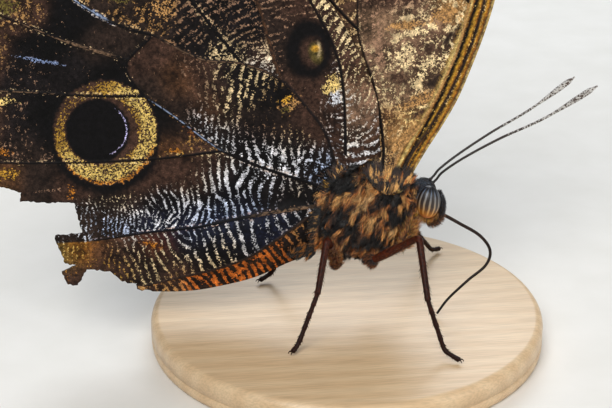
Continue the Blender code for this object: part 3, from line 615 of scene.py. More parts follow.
# %% Marbling of the forewing's cells
FOREWING_PATTERN = {
    "edge": [(10.5, 30.5, 40, 0.8, 10, "tan", "gold"), (18.5, 46, 20, 0.8, 20, "ochre", "cream"),
        (22, 62, 5, 0.8, 20, "tan", "cream"), (22.8, 85, 0, 1, 15, "earth", "cream")],
    "strip": [(7.2, 30, 40, 0.9, 30, "earth", "gold"), (12.8, 38, 35, 0.8, 30, "ochre", "straw"),
        (17.3, 49, 15, 0.8, 30, "tan", "straw"), (20, 62, 5, 1, 30),
        (21.2, 82, 0, 1.2, 30, "fawn", "cream")],
    "disc": [(5.6, 30.4, 50, 1.1, 35, "umber", "tan"), (7.8, 34.2, 50, 1.2, 45, "tan", "cream"),
        (15.4, 54, 50, 1.6, 55), (10.2, 36.6, 45, 1.2, 50, "tan", "straw"),
        (6.4, 37, 60, 1, 35, "earth", "tan"), (10.8, 40, 68, 1.6, 55, "fawn", "cream"),
        (6.6, 41.5, 70, 1.4, 30), (6.8, 44.5, 20, 1.3, 35), (13.2, 45.8, 30, 1.4, 50),
        (8.6, 51.5, 80, 1.6, 50), (8.6, 47.6, 30, 1.8, 50, "rose", "cream"), (5.2, 47.5, 20, 1.3, 35),
        (12.4, 52, 60, 1.6, 50), (10.6, 44, 10, 1.3, 40, "umber", "cream"), (14.4, 48.6, 25, 1.2, 42),
        (11.8, 47.6, 20, 1.2, 35), (13.2, 43, 60, 1.3, 15, "bark", "tan"),
        (4.2, 51.5, 10, 1.4, 20, "fawn", "rose"), (8.5, 56, 85, 1.5, 35, "umber", "rose"),
        (4.5, 57, 85, 1.5, 30)],
    "fan": [(16.5, 60, 70, 2, 45, "fawn", "cream"), (16, 75, 80, 2.4, 40),
        (8, 68, 75, 2.2, 40, "earth", "cream"), (0, 66, 70, 2.2, 35, "umber", "tan"),
        (8, 82, 75, 2.2, 35, "earth", "tan"), (-6, 74, 60, 2, 30), (20, 90, 60, 2, 30, "umber", "cream")],
    "tail": [(2, 40, 60, 1.4, 30, "umber", "tan"), (-8, 60, 60, 1.6, 30)],
}
print(sum(len(places) for places in FOREWING_PATTERN.values()), "places on the forewing")

# %% Blending the places inside each cell
GRID_STEP = 0.15
PLACE_REACH = 1.6
CALL_FAR = 1e-5


def blend_places(cells, pattern, x, z):
    """Lean, spacing, cover, ground and mark colours at each grid point."""
    fields = {name: np.zeros(x.shape) for name in ("lean_x", "lean_y", "spacing", "cover")}
    fields |= {name: np.zeros((*x.shape, 3)) for name in ("ground", "mark")}
    for cell, places in pattern.items():
        here = cells == cell
        px, pz = x[here], z[here]
        total = 0
        sums = {name: 0 for name in fields}
        for place_x, place_z, lean, spacing, cover, *changed in places:
            tones = changed or tones
            away = ((px - place_x) ** 2 + (pz - place_z) ** 2) / PLACE_REACH ** 2
            weight = np.exp(-away / 2) + CALL_FAR / (1 + away) ** 2
            total = total + weight
            double = math.radians(2 * lean)
            wanted = (math.cos(double), math.sin(double), math.log(spacing), cover / 100, *map(rgb, tones))
            for name, value in zip(sums, wanted):
                sums[name] = sums[name] + np.multiply.outer(weight, value)
        for name, value in sums.items():
            fields[name][here] = value / (total if value.ndim == 1 else total[:, None])
    fields["lean"] = np.arctan2(fields["lean_y"], fields["lean_x"]) / 2
    fields["spacing"] = np.exp(fields["spacing"])
    return fields


# %% [markdown]
# ## Wing pattern: the stripes themselves
# White noise holds waves of every direction and length. Passing it through a filter that keeps one
# direction and one length gives stripes with natural forks and breaks, and a bank of such filters,
# mixed by the lean and the spacing wanted at each place, gives stripes that bend. fft2 takes the noise
# apart into its waves, so each filter is one multiplication, and ifft2 puts them together again. Only
# the phase of the result is kept, so that all stripes are equally strong, except where they fork.

# %% Stripes from filtered noise
DIRECTIONS = 12
SPACINGS = np.geomspace(0.5, 2.6, 7)
LENGTH_BAND = 0.2
DIRECTION_BAND = 0.14


def tent(value):
    """1 at zero, falling in a straight line to 0 at one step away."""
    return np.clip(1 - np.abs(value), 0.0, 1.0)


def noise_waves(shape, seed):
    """White noise as waves, and how many of each fit in a millimetre upwards and to the right."""
    spectrum = np.fft.fft2(np.random.default_rng(seed).standard_normal(shape))
    up, right = (np.fft.fftfreq(count, GRID_STEP) for count in shape)
    return spectrum, up[:, None], right[None, :]


def bent_stripes(lean, spacing, seed):
    """Stripes as a value from -1 to 1 that follow a lean and a spacing at each grid point."""
    spectrum, up, right = noise_waves(lean.shape, seed)
    turn = np.mod(-lean, np.pi) / np.pi * DIRECTIONS
    octave = np.log(spacing / SPACINGS[0]) / np.log(SPACINGS[1] / SPACINGS[0])
    octave = np.clip(octave, 0, len(SPACINGS) - 1)
    waves = np.zeros(lean.shape, complex)
    for number in range(DIRECTIONS):
        angle = np.pi * number / DIRECTIONS
        along = right * math.cos(angle) + up * math.sin(angle)
        across = up * math.cos(angle) - right * math.sin(angle)
        same = tent(turn - number)
        opposite = tent(turn - number - DIRECTIONS)
        for row, length in enumerate(SPACINGS):
            share = tent(octave - row)
            if not (share * (same + opposite)).any():
                continue
            off_length = (along * length - 1) / LENGTH_BAND
            off_line = across * length / DIRECTION_BAND
            layer = np.fft.ifft2(spectrum * np.exp(-off_length ** 2 / 2 - off_line ** 2 / 2))
            layer /= np.sqrt(np.mean(np.abs(layer) ** 2))
            waves += share * (same * layer + opposite * np.conj(layer))
    strength = np.abs(waves)
    return np.real(waves) / np.maximum(strength, 1e-9) * smooth_step(strength, 0.05, 0.65)


print("stripe filters:", DIRECTIONS * len(SPACINGS))

# %% [markdown]
# ## Wing pattern: eyespots, patches and streaks
# The great eyespot is what gives the butterfly its name: a black pupil with a thin pale crescent, a ring
# that goes from brown through gold to cream, and a black rim. It is worked out from two ellipses, one
# for each edge of the ring, because the ring is three times wider on one side. The small patches are
# ellipses with soft edges. The blue streaks are creases where scales have been rubbed off, and their
# bluish white is a painted glint of the bare, shiny membrane.

# %% Paint on the grid
def mix(first, second, share):
    """Blend of two fields or colours by a share at each point."""
    share = np.asarray(share)
    if np.ndim(first) > share.ndim or np.ndim(second) > share.ndim:
        share = share[..., None]
    return first * (1 - share) + second * share


def paint(fields, share, colour):
    """Covers the ground with a colour and takes the marks away."""
    fields["ground"] = mix(fields["ground"], rgb(colour), share)
    fields["marks"] = mix(fields["marks"], -1.0, share)
    fields["pepper"] = mix(fields["pepper"], 0.35, share)


def dust(fields, share, colour, level=0.3, pepper=1.5, solid=1.0):
    """Covers the marks with scales of a colour, loosely enough for the ground to show between them."""
    fields["mark"] = mix(fields["mark"], rgb(colour), smooth_step(share, 0.0, 0.4))
    fields["marks"] = mix(fields["marks"], level, share * solid)
    fields["pepper"] = mix(fields["pepper"], pepper, share)


def ellipse_reach(x, z, centre, half, tilt=0.0):
    """Distance from an ellipse's middle in its own radii."""
    cos, sin = math.cos(math.radians(tilt)), math.sin(math.radians(tilt))
    along = (x - centre[0]) * cos + (z - centre[1]) * sin
    across = (z - centre[1]) * cos - (x - centre[0]) * sin
    return np.hypot(along / half[0], across / half[1])


def cloud(shape, length, seed):
    """Soft noise from about -1 to 1 whose blots are a given number of millimetres wide."""
    spectrum, up, right = noise_waves(shape, seed)
    soft = np.real(np.fft.ifft2(spectrum * np.exp(-(up ** 2 + right ** 2) * (length * 1.2) ** 2)))
    return soft / (2 * soft.std())


# %% Great eyespot
RING_CENTRE, RING_HALF = (-36.6, 37.2), (7.7, 8.4)
PUPIL_CENTRE, PUPIL_HALF = (-37.7, 37.6), (4.6, 4.95)
CRESCENT_CENTRE, CRESCENT_HALF = (-38.0, 37.7), (4.55, 4.3)


def great_eyespot(fields, x, z, ragged):
    """Black rim, speckled ring, pupil and crescent."""
    ahead, above = x - RING_CENTRE[0], z - RING_CENTRE[1]
    outer = ellipse_reach(x, z, RING_CENTRE, RING_HALF) + 0.035 * ragged
    inner = ellipse_reach(x, z, PUPIL_CENTRE, PUPIL_HALF) + 0.03 * ragged
    below = smooth_step(-above, 2.0, 7.0)
    paint(fields, 1 - smooth_step(outer, 1.02 + 0.05 * below, 1.1 + 0.16 * below), "black")
    share = (inner - 1) / (np.maximum(inner - 1, 0) + np.maximum(1 - outer, 0) + 1e-6)
    rough_share = share + 0.08 * ragged
    ring = smooth_step(1 - outer, 0.0, 0.03) * smooth_step(inner, 0.98, 1.04)
    right = smooth_step(x, -39.0, -32.0)
    pale = smooth_step(ahead * 0.75 - above * 0.65, -5.5, 4.0)
    upper_left = smooth_step(above - ahead, 6.0, 10.5)
    paint(fields, ring, "umber")
    start = 0.1 + 0.34 * right
    dust(fields, ring * smooth_step(rough_share, start - 0.1, start + 0.1), "bronze", 0.25)
    dust(fields, ring * smooth_step(rough_share, start + 0.05, start + 0.3) * pale, "brass", -0.05)
    dust(fields, ring * smooth_step(share, 0.86, 0.97) * smooth_step(-above, 1.0, 6.0), "ochre", 0.35)
    bare = 0.35 * smooth_step(np.abs(share - 0.45), 0.38, 0.55) * (1 - right)
    fields["marks"] -= ring * (1.1 * upper_left + bare)
    paint(fields, 1 - smooth_step(inner, 1.0, 1.05), "black")
    rim = np.abs(ellipse_reach(x, z, CRESCENT_CENTRE, CRESCENT_HALF) - 1)
    angle = np.degrees(np.arctan2(z - CRESCENT_CENTRE[1], x - CRESCENT_CENTRE[0]))
    lit = (1 - smooth_step(rim, 0.01, 0.05)) * (1 - smooth_step(np.abs(angle + 8), 45, 68))
    dust(fields, lit, "violet", 0.35, 1.7)


# %% Small eyespot: centre, half sizes, tilt, raggedness, inner and outer edge, strength, colour
SMALL_EYESPOT = [
    ((-6.3, 49), (3.4, 4.7), 0, 0.04, 0.85, 1.15, 1, "black"),
    ((-5.9, 48.6), (2.2, 2.9), 0, 0.1, 0.5, 1, 0.8, "umber"),
    ((-5.3, 48.4), (1.1, 1.9), 15, 0, 0.6, 1.1, 0.8, "olive"),
    ((-5.3, 49.1), (0.7, 0.5), 0, 0, 0.7, 1.1, 1, "gold"),
]


def small_eyespot(fields, x, z, ragged):
    """Dark spot with a brown middle, a grain of gold and a pale arc."""
    for centre, half, tilt, rough, low, high, strength, colour in SMALL_EYESPOT:
        reach = ellipse_reach(x, z, centre, half, tilt) + rough * ragged
        paint(fields, strength * (1 - smooth_step(reach, low, high)), colour)
    arc = np.abs(ellipse_reach(x, z, (-5.9, 48.9), (1.2, 1.6)) - 1)
    paint(fields, (1 - smooth_step(arc, 0.06, 0.22)) * smooth_step(x, -5.2, -4.8) * 0.5, "cream")


# %% Patches and rubbed streaks of the hindwing, the streaks with a painted glint: centre, half sizes, tilt, colour, strength
HINDWING_PATCHES = [
    ((-9.2, 40.6), (2, 1.5), 30, "tan", 0.95), ((-9.8, 41.3), (1.3, 0.6), 20, "gold", 0.8),
    ((-9.8, 39.6), (0.8, 0.6), 0, "olive", 0.7), ((-2.9, 43.3), (1.4, 2.1), -15, "straw", 0.95),
    ((-2.2, 41.2), (1.3, 1), 0, "snow", 0.9), ((-51.2, 43), (1.9, 0.9), 0, "straw", 0.75),
    # Gold and ochre patches by the torn edge: their own colour, brightened with painted light shining through
    # the thin membrane.
    ((-51.6, 31.4), (2.8, 1.1), 0, "gold", 0.85), ((-52, 34.8), (1.6, 0.8), 0, "ochre", 0.6),
    ((-42.2, 28.2), (0.8, 1.9), 0, "ochre", 0.85), ((-24.2, 37), (1.2, 0.6), -40, "rust", 0.6),
    ((-26.4, 33.9), (1.2, 0.5), 0, "ochre", 0.7), ((-50, 57), (2.2, 1.4), 20, "olive", 0.8),
    ((-27.6, 56.2), (1.6, 1.8), 30, "tan", 0.6), ((-33.6, 58), (1.8, 1), -20, "olive", 0.6),
    ((-38.6, 18), (1.9, 1.5), 0, "earth", 0.6), ((-30.4, 18.6), (1.8, 0.6), -20, "ochre", 0.5),
    ((-46, 28.4), (3, 0.5), 0, "rose", 0.5),
]
# Rubbed streaks: real bare creases, their sky blue a painted glint of the shiny membrane.
RUBBED_GLINT_STREAKS = [((-49.5, 49.9), (-41.2, 47.8)), ((-40.2, 57.6), (-34.2, 53.6))]


def patches_and_streaks(fields, x, z, ragged, patches, streaks):
    """Soft patches of colour, and the rubbed creases with their bluish painted glint."""
    for centre, half, tilt, colour, strength in patches:
        reach = ellipse_reach(x, z, centre, half, tilt) + 0.35 * ragged
        dust(fields, 1 - smooth_step(reach, 0.55, 1.15), colour, 0.9 * strength - 0.4, 1.3, 0.75)
    for ends in streaks:
        away, share = distance_to_line(x, z, np.array(ends))
        width = 0.42 * np.sin(np.pi * np.clip(share, 0.05, 0.95)) + 0.05
        # Sky-blue dust along each streak: bare scales, and a painted glint of the membrane.
        dust(fields, 1 - smooth_step(away / width + 0.35 * ragged, 0.3, 1.2), "sky", 0.3, 0.8)


# %% Patches of the forewing, and the bands along its front edge: distance inwards, colour
FOREWING_PATCHES = [
    ((13.2, 42.8), (2, 1), 30, "bark", 0.9), ((12, 47.6), (0.9, 1.2), 20, "umber", 0.8),
    ((14.6, 49.3), (0.5, 1.5), -25, "bark", 0.9), ((16.2, 50.4), (0.5, 1.4), -20, "bark", 0.9),
    ((10.7, 37.9), (2.6, 0.45), 25, "umber", 0.85), ((8.6, 34.2), (3.4, 1), 42, "tan", 0.85),
    ((10.6, 40), (3.4, 1.1), 18, "tan", 0.8), ((8.8, 47.4), (1.1, 1.9), 15, "cream", 0.9),
    ((8.2, 51.8), (3.6, 0.7), 5, "tan", 0.7), ((14.2, 53.2), (2.4, 1.6), 20, "tan", 0.7),
    ((12.8, 46.2), (1.6, 0.9), 20, "cream", 0.75), ((11, 44.6), (0.7, 1.6), 0, "cream", 0.7),
    ((7.4, 43.6), (1.6, 1.2), 0, "umber", 0.75), ((4.2, 49.6), (1, 5), 8, "rose", 0.6),
    ((18.6, 84), (1.6, 2.4), 0, "black", 0.9), ((18.7, 84.6), (0.4, 0.9), 0, "snow", 0.9),
]
COSTAL_BANDS = [
    (0, "straw"), (0.28, "umber"), (0.62, "ochre"), (0.9, "gold"), (1.15, "umber"), (1.35, "soot"),
    (1.75, "ochre"), (1.95, "gold"), (2.3, "black"), (3, "ochre"), (3.2, "straw"), (3.75, "umber"),
]
COSTAL_REACH = 4.2


def costal_bands(fields, x, z, ragged):
    """Bands that run along the front edge and crowd together towards the wing's root."""
    line = smooth_line(FOREWING_COSTA, 1.0)
    near = x > line_side(FOREWING_COSTA, z) - 9.0
    away = np.full(x.shape, np.inf)
    away[near] = distance_to_line(x[near], z[near], line)[0]
    away = away / (0.78 + 0.22 * smooth_step(z, 31.0, 42.0)) + 0.09 * ragged
    level = smooth_step(away, COSTAL_REACH, COSTAL_REACH - 0.7)
    fields["marks"] = mix(fields["marks"], -1.0, level)
    for start, colour in COSTAL_BANDS:
        band = smooth_step(away, start - 0.12, start + 0.12) * (away < COSTAL_REACH)
        fields["ground"] = mix(fields["ground"], rgb(colour) * 0.85, band * level)


print(len(HINDWING_PATCHES) + len(FOREWING_PATCHES), "patches")

# %% [markdown]
# ## Wing pattern: the finished fields
# Everything above is drawn once on a fine grid over each wing and later read off at the mesh's points.
# Three things reach the material: the ground colour, the mark colour and a value that is above zero
# where the mark shows. The material cuts that value off sharply, so the stripes stay crisp between the
# mesh's points, and adds the grain of single scales.

# %% Draw a wing's pattern
def wing_pattern(box, cells, pattern, blotchy, seed):
    """Grid of the pattern's fields over a box of X and Z."""
    x, z = np.meshgrid(np.arange(box[0], box[1], GRID_STEP), np.arange(box[2], box[3], GRID_STEP))

    def soft(length, number):
        return cloud(x.shape, length, seed + number)

    names = cells(x, z)
    fields = blend_places(names, pattern, x, z)
    stripes = bent_stripes(fields["lean"] + 0.3 * soft(1.6, 3), fields["spacing"], seed)
    blots = np.clip(1.1 * soft(0.8, 4) + 0.7 * soft(0.3, 5), -1, 1)
    share = np.full(x.shape, 0.05)
    for name, amount in blotchy.items():
        share[names == name] = amount
    cover = fields["cover"] * (0.84 + 0.4 * soft(1.3, 1)) * np.where(names == "anal", 0.8, 1.0)
    cover = np.clip(cover, 0.0, 0.8)
    level = np.cos(np.pi * cover) * (1 - 0.35 * share) + 0.8 * smooth_step(-cover, -0.13, -0.03)
    fields["marks"] = mix(stripes, blots, share) - level
    fields["pepper"] = 1.3 - 1.4 * cover + 0.3 * share
    bright = 0.5 + cover + 0.3 * soft(0.7, 8)
    fields["mark"] = fields["mark"] * bright[..., None].clip(0.3, 1.1)
    mottled = 0.75 + 0.35 * soft(2.5, 2) + 0.3 * soft(0.55, 6) + 0.2 * soft(0.25, 7)
    fields["ground"] = fields["ground"] * mottled[..., None].clip(0.25, 1.9)
    return fields, x, z


def read_off(fields, box, x, z):
    """Values of the fields at flat points, blended between the grid's points."""
    column = np.clip((x - box[0]) / GRID_STEP, 0, None)
    row = np.clip((z - box[2]) / GRID_STEP, 0, None)
    height, width = fields["marks"].shape
    left = np.minimum(column.astype(int), width - 2)
    low = np.minimum(row.astype(int), height - 2)
    right_share = np.clip(column - left, 0, 1)
    up_share = np.clip(row - low, 0, 1)
    values = {}
    for name in ("ground", "mark", "marks", "pepper"):
        field = fields[name]
        values[name] = mix(mix(field[low, left], field[low, left + 1], right_share),
                           mix(field[low + 1, left], field[low + 1, left + 1], right_share), up_share)
    return values


# %% Both patterns
HINDWING_BOX = (-58.5, 6.0, 9.0, 77.5)
FOREWING_BOX = (-19.5, 25.0, 24.0, 97.5)
HINDWING_BLOTS = {
    "disc": 0.35, "ripple": 0.4, "median": 0.5, "outer": 0.6, "eye": 0.6, "costal": 0.2, "cubital": 0.1,
}
FOREWING_BLOTS = {"edge": 0.6, "strip": 0.6, "disc": 0.85, "fan": 0.4, "tail": 0.5}
hindwing_fields, grid_x, grid_z = wing_pattern(HINDWING_BOX, hindwing_cell, HINDWING_PATTERN,
                                               HINDWING_BLOTS, 11)
ragged = cloud(grid_x.shape, 0.45, 5)
patches_and_streaks(hindwing_fields, grid_x, grid_z, ragged, HINDWING_PATCHES, RUBBED_GLINT_STREAKS)
great_eyespot(hindwing_fields, grid_x, grid_z, ragged)
small_eyespot(hindwing_fields, grid_x, grid_z, ragged)
forewing_fields, grid_x, grid_z = wing_pattern(FOREWING_BOX, forewing_cell, FOREWING_PATTERN,
                                               FOREWING_BLOTS, 23)
ragged = cloud(grid_x.shape, 0.45, 7)
patches_and_streaks(forewing_fields, grid_x, grid_z, ragged, FOREWING_PATCHES, [])
costal_bands(forewing_fields, grid_x, grid_z, ragged)
print("patterns drawn on", hindwing_fields["marks"].size + forewing_fields["marks"].size, "grid points")

# %% [markdown]
# ## Wing skins
# Each wing is a closed thin sheet, like the real double membrane. Its outer face is a triangle mesh with
# points every quarter of a millimetre, and rows of points along every vein so that the ridges come
# out clean. A constrained triangulation joins them and keeps inside the outline. The inner face is
# hidden against the next wing, so it gets few points, and both share their border.

# %% Points of a flat sheet
def is_inside(x, z, outline):
    """Whether flat points lie inside a closed outline."""
    inside = np.zeros(x.shape, bool)
    for start, end in zip(outline, np.roll(outline, -1, axis=0)):
        if start[1] == end[1]:
            continue
        level = (start[1] > z) != (end[1] > z)
        crossing = start[0] + (end[0] - start[0]) * (z - start[1]) / (end[1] - start[1])
        inside ^= level & (x < crossing)
    return inside


def honeycomb(outline, spacing):
    """Points in a triangle pattern inside an outline."""
    low, high = outline.min(axis=0), outline.max(axis=0)
    rows = np.arange(low[1], high[1], spacing * 0.87)
    columns = np.arange(low[0], high[0], spacing)
    x, z = np.meshgrid(columns, rows)
    x = x + (np.arange(len(rows)) % 2)[:, None] * spacing / 2
    points = np.stack((x.ravel(), z.ravel()), axis=1)
    return points[is_inside(points[:, 0], points[:, 1], outline)]


def clear_of(points, line, room):
    """Points that keep a distance to a line."""
    low, high = line.min(axis=0) - room, line.max(axis=0) + room
    near = ((points > low) & (points < high)).all(axis=1)
    away = np.full(len(points), np.inf)
    away[near] = distance_to_line(points[near, 0], points[near, 1], line)[0]
    return points[away > room]


def vein_rows(line, half):
    """Rows of points along a vein: its crest, its flanks and its feet."""
    along = unit(np.gradient(line, axis=0))
    across = np.stack((-along[:, 1], along[:, 0]), axis=1)
    return [line + across * half * step for step in (0.0, -0.5, 0.5, -1.0, 1.0)]


def first_of_each(points, cell):
    """Drops points that share a small square with an earlier one."""
    keys = np.round(points / cell).astype(int)
    _, first = np.unique(keys, axis=0, return_index=True)
    return points[np.sort(first)]


def triangulate(outline, inner_points):
    """Triangles that fill an outline, through the points inside it."""
    points = [Vector(point) for point in np.vstack((outline, inner_points))]
    flat = delaunay_2d_cdt(points, [], [list(range(len(outline)))], 1, 1e-5)
    return np.array([place[:] for place in flat[0]]), np.array(flat[2])


# %% Outlines with worn edges
OUTLINE_STEP = 0.4


def torn(points, seed):
    """Straight tears broken into a ragged line."""
    rng = np.random.default_rng(seed)
    points = np.array(points, float)
    line = [points[0]]
    for start, end in zip(points, points[1:]):
        length = np.linalg.norm(end - start)
        count = max(1, round(length / OUTLINE_STEP))
        across = np.array((start[1] - end[1], end[0] - start[0])) / length
        for number in range(1, count + 1):
            wobble = rng.normal(0, 0.09) if number < count else 0.0
            line.append(start + (end - start) * number / count + across * wobble)
    return np.array(line)


def worn(points, seed):
    """Smooth margin with the small nicks that old wings have."""
    line = smooth_line(points, OUTLINE_STEP)
    rng = np.random.default_rng(seed)
    nicks = np.where(rng.random(len(line)) < 0.06, rng.uniform(0.1, 0.4, len(line)), 0.0)
    nicks[[0, -1]] = 0.0
    return line + unit(line.mean(axis=0) - line) * nicks[:, None]


def closed_outline(*stretches):
    """One closed outline from stretches that follow one another; a plain list is made smooth first."""
    lines = [smooth_line(line, OUTLINE_STEP) if isinstance(line, list) else line for line in stretches]
    return np.vstack([line[:-1] for line in lines])


fore_outline = closed_outline(FOREWING_COSTA, FOREWING_APEX, worn(FOREWING_OUTER, 3), FOREWING_INNER,
                              FOREWING_ROOT)
hind_outlines = {word: closed_outline(HINDWING_COSTA, worn(HINDWING_OUTER, 4), torn(HINDWING_TEAR[word], 6),
                                      HINDWING_ANAL, HINDWING_ROOT) for word, _ in SIDES}
print(len(fore_outline), "points round a forewing")

# %% Vein colours (crest, flanks) and lengths where the crest is rubbed pale (colour, from, to)
VEIN_STEP = 0.3
VEIN_HEIGHT = 0.18
VEIN_ROOM = 1.2
VEIN_HALF_WIDTHS = (0.4, 0.24)
HINDWING_VEIN_TONES = {"cubital_stem": ("black", "tan"), "second_anal": ("black", "ochre"),
                       "third_anal": ("bark", "rust"), "radial_sector": ("bark", "earth"),
                       "upper_cell": ("soot", "earth")}
FOREWING_VEIN_TONES = {"subcosta": ("bark", "gold"), "radius": ("tan", "soot")}
PALE_LENGTHS = {"cubital_stem": ("ice", 0.5, 1.0), "first_cubital": ("fawn", 0.45, 1.0),
                "upper_cell": ("fawn", 0.45, 1.0), "third_median": ("fawn", 0.05, 0.8),
                # The ice stretch of the second median is the rubbed streak there, with its painted glint.
                "second_median": ("ice", 0.26, 0.68), "second_anal": ("fawn", -0.2, 0.32),
                "radial_sector": ("earth", -0.2, 0.5)}


def follow_veins(x, z, veins, tones):
    """Ridge height, and how strongly the crest and its flanks are coloured, at flat points."""
    ridge, crest, flank = np.zeros((3, len(x)))
    crest_colour = np.tile(rgb("black"), (len(x), 1))
    flank_colour = np.tile(rgb("cream"), (len(x), 1))
    for name, points in veins.items():
        line = smooth_line(points, VEIN_STEP)
        low, high = line.min(axis=0) - VEIN_ROOM, line.max(axis=0) + VEIN_ROOM
        near = np.flatnonzero((x > low[0]) & (x < high[0]) & (z > low[1]) & (z < high[1]))
        away, share = distance_to_line(x[near], z[near], line[::2] if len(line) > 4 else line)
        off = away / (VEIN_HALF_WIDTHS[0] + (VEIN_HALF_WIDTHS[1] - VEIN_HALF_WIDTHS[0]) * share)
        ridge[near] = np.maximum(ridge[near], VEIN_HEIGHT * (1 - smooth_step(off, 0.0, 1.0)))
        top, side = tones.get(name, ("black", "cream"))
        colour = np.tile(rgb(top), (len(near), 1))
        if name in PALE_LENGTHS and veins is HINDWING_VEINS:
            pale, start, end = PALE_LENGTHS[name]
            shown = smooth_step(share, start, start + 0.12) * smooth_step(-share, -end, 0.1 - end)
            broken = np.random.default_rng(len(name)).random(len(near)) > 0.35
            colour = mix(colour, rgb(pale), 0.8 * shown * broken * (off < 0.45))
        this = 1 - smooth_step(off, 0.3, 0.75)
        stronger = this > crest[near]
        crest_colour[near[stronger]] = colour[stronger]
        crest[near] = np.maximum(crest[near], this)
        this = smooth_step(off, 0.6, 0.95) * (1 - smooth_step(off, 1.2, 1.9))
        flank_colour[near[this > flank[near]]] = rgb(side)
        flank[near] = np.maximum(flank[near], this)
    return ridge, crest, flank * (1 - crest), crest_colour, flank_colour


# %% Scale finish of the wings
SCALE_GRAIN, CLUMP_GRAIN, EDGE_GRAIN, BROAD_GRAIN = 7500.0, 4400.0, 3200.0, 1900.0


def wing_finish():
    """Marks cut from the ground, single scales, and the dull gloss of a scaled wing."""
    material, tree, shader = new_finish("wing_scales", 0.7, Specular_IOR_Level=0.12)
    single = grain_random(tree, SCALE_GRAIN)
    clumps = grain_random(tree, CLUMP_GRAIN, 1)
    rough_edge = noise(tree, EDGE_GRAIN, Roughness=0.65)
    wander = -1.6
    for grain, strength in ((single, 0.5), (clumps, 1.1), (rough_edge, 1.6)):
        wander = calculate(tree, "MULTIPLY_ADD", grain, strength, wander)
    level = calculate(tree, "MULTIPLY_ADD", wander, stored(tree, "pepper"), stored(tree, "marks"))
    shown = rescale(tree, level, -0.12, 0.16, smooth=True)
    colour = blend_colours(tree, shown, stored(tree, "ground", "Color"), stored(tree, "mark", "Color"))
    grain = rescale(tree, calculate(tree, "MULTIPLY_ADD", clumps, 0.6, single), 0.0, 1.6, 0.45, 1.5)
    broad = rescale(tree, noise(tree, BROAD_GRAIN, 5.0), 0.33, 0.67, 0.5, 1.35)
    colour = shaded(tree, colour, calculate(tree, "MULTIPLY", grain, broad))
    plug(tree, shader.inputs["Base Color"], colour)
    plug(tree, shader.inputs["Roughness"], rescale(tree, single, 0.0, 1.0, 0.42, 0.72))
    raise_surface(tree, shader, calculate(tree, "MULTIPLY_ADD", shown, 0.5, single), 0.00003, 0.5)
    return material


wing_scales = wing_finish()

# %% Build one wing
FINE, COARSE = 0.27, 1.7
SKIN = 0.28
VEIN_HALF, VEIN_CLEAR = 0.3, 0.36
BORDER_CLEAR, INNER_CLEAR = 0.13, 0.8
SAME_POINT = 0.11


def wing(name, side, outline, veins, tones, middle, fields, box):
    """Closed scaled sheet in place of a solid wing."""
    points = honeycomb(outline, FINE)
    rows = []
    for vein in veins.values():
        line = smooth_line(vein, VEIN_STEP)
        points = clear_of(points, line, VEIN_CLEAR)
        rows += vein_rows(line, VEIN_HALF)
    rows = first_of_each(np.vstack(rows), SAME_POINT)
    rows = rows[is_inside(rows[:, 0], rows[:, 1], outline)]
    border = np.vstack((outline, outline[:1]))
    flat, outer_faces = triangulate(outline, clear_of(np.vstack((rows, points)), border, BORDER_CLEAR))
    inner_points = clear_of(honeycomb(outline, COARSE), border, INNER_CLEAR)
    inner_flat, inner_faces = triangulate(outline, inner_points)
    x, z = flat.T
    ridge, crest, flank, crest_colour, flank_colour = follow_veins(x, z, veins, tones)
    values = read_off(fields, box, x, z)
    values["ground"] = mix(values["ground"], crest_colour, crest)
    values["marks"] = mix(values["marks"], -1.0, crest)
    scaled_edge = flank * (np.random.default_rng(9).random(len(x)) > 0.45) * 0.55
    values["mark"] = mix(values["mark"], flank_colour, scaled_edge)
    values["marks"] = mix(values["marks"], 0.35, scaled_edge)
    inner_x, inner_z = inner_flat.T
    outer = np.stack((x, side * (middle(x, z) + WING_THICKNESS / 2 + ridge), z), axis=1)
    inner_depth = middle(inner_x, inner_z) + WING_THICKNESS / 2 - SKIN
    inner = np.stack((inner_x, side * inner_depth, inner_z), axis=1)
    for label, bare in (("ground", rgb("umber")), ("mark", rgb("umber")), ("marks", -1.0), ("pepper", 0.0)):
        hidden = np.broadcast_to(bare, (len(inner), *np.shape(bare)))
        values[label] = np.concatenate((values[label], hidden))
    rim = np.arange(len(outline))
    following = np.roll(rim, -1)
    first_inner = len(outer)
    edge = np.vstack((np.stack((following, rim, rim + first_inner), axis=1),
                      np.stack((following, rim + first_inner, following + first_inner), axis=1)))
    faces = np.vstack((outer_faces, inner_faces[:, ::-1] + first_inner, edge))
    if side > 0:
        faces = faces[:, ::-1]
    span = max(box[1] - box[0], box[3] - box[2])
    chart = (np.vstack((flat, inner_flat)) - (box[0], box[2])) / span * 0.49
    corner = chart[faces.ravel()]
    start = outer_faces.size
    corner[start:start + inner_faces.size, 0] += 0.5
    piece = new_piece(f"skin_{name}", np.vstack((outer, inner)), faces, wing_scales, values, corner)
    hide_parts(name)
    print(name, "has", len(faces), "faces")


for word, side in SIDES:
    wing(f"forewing_{word}", side, fore_outline, FOREWING_VEINS, FOREWING_VEIN_TONES, forewing_middle,
         forewing_fields, FOREWING_BOX)
    wing(f"hindwing_{word}", side, hind_outlines[word], HINDWING_VEINS, HINDWING_VEIN_TONES, hindwing_middle,
         hindwing_fields, HINDWING_BOX)

# %% [markdown]
# ## Body skin
# Under the fur a butterfly is one jointed shell: head, neck, thorax with six coxae, waist and abdomen.
# Overlapping ellipsoids make its masses, and a voxel remesh melts them into one closed skin without a
# seam. It lies a little inside the solids, because the fur on it has a depth of its own.

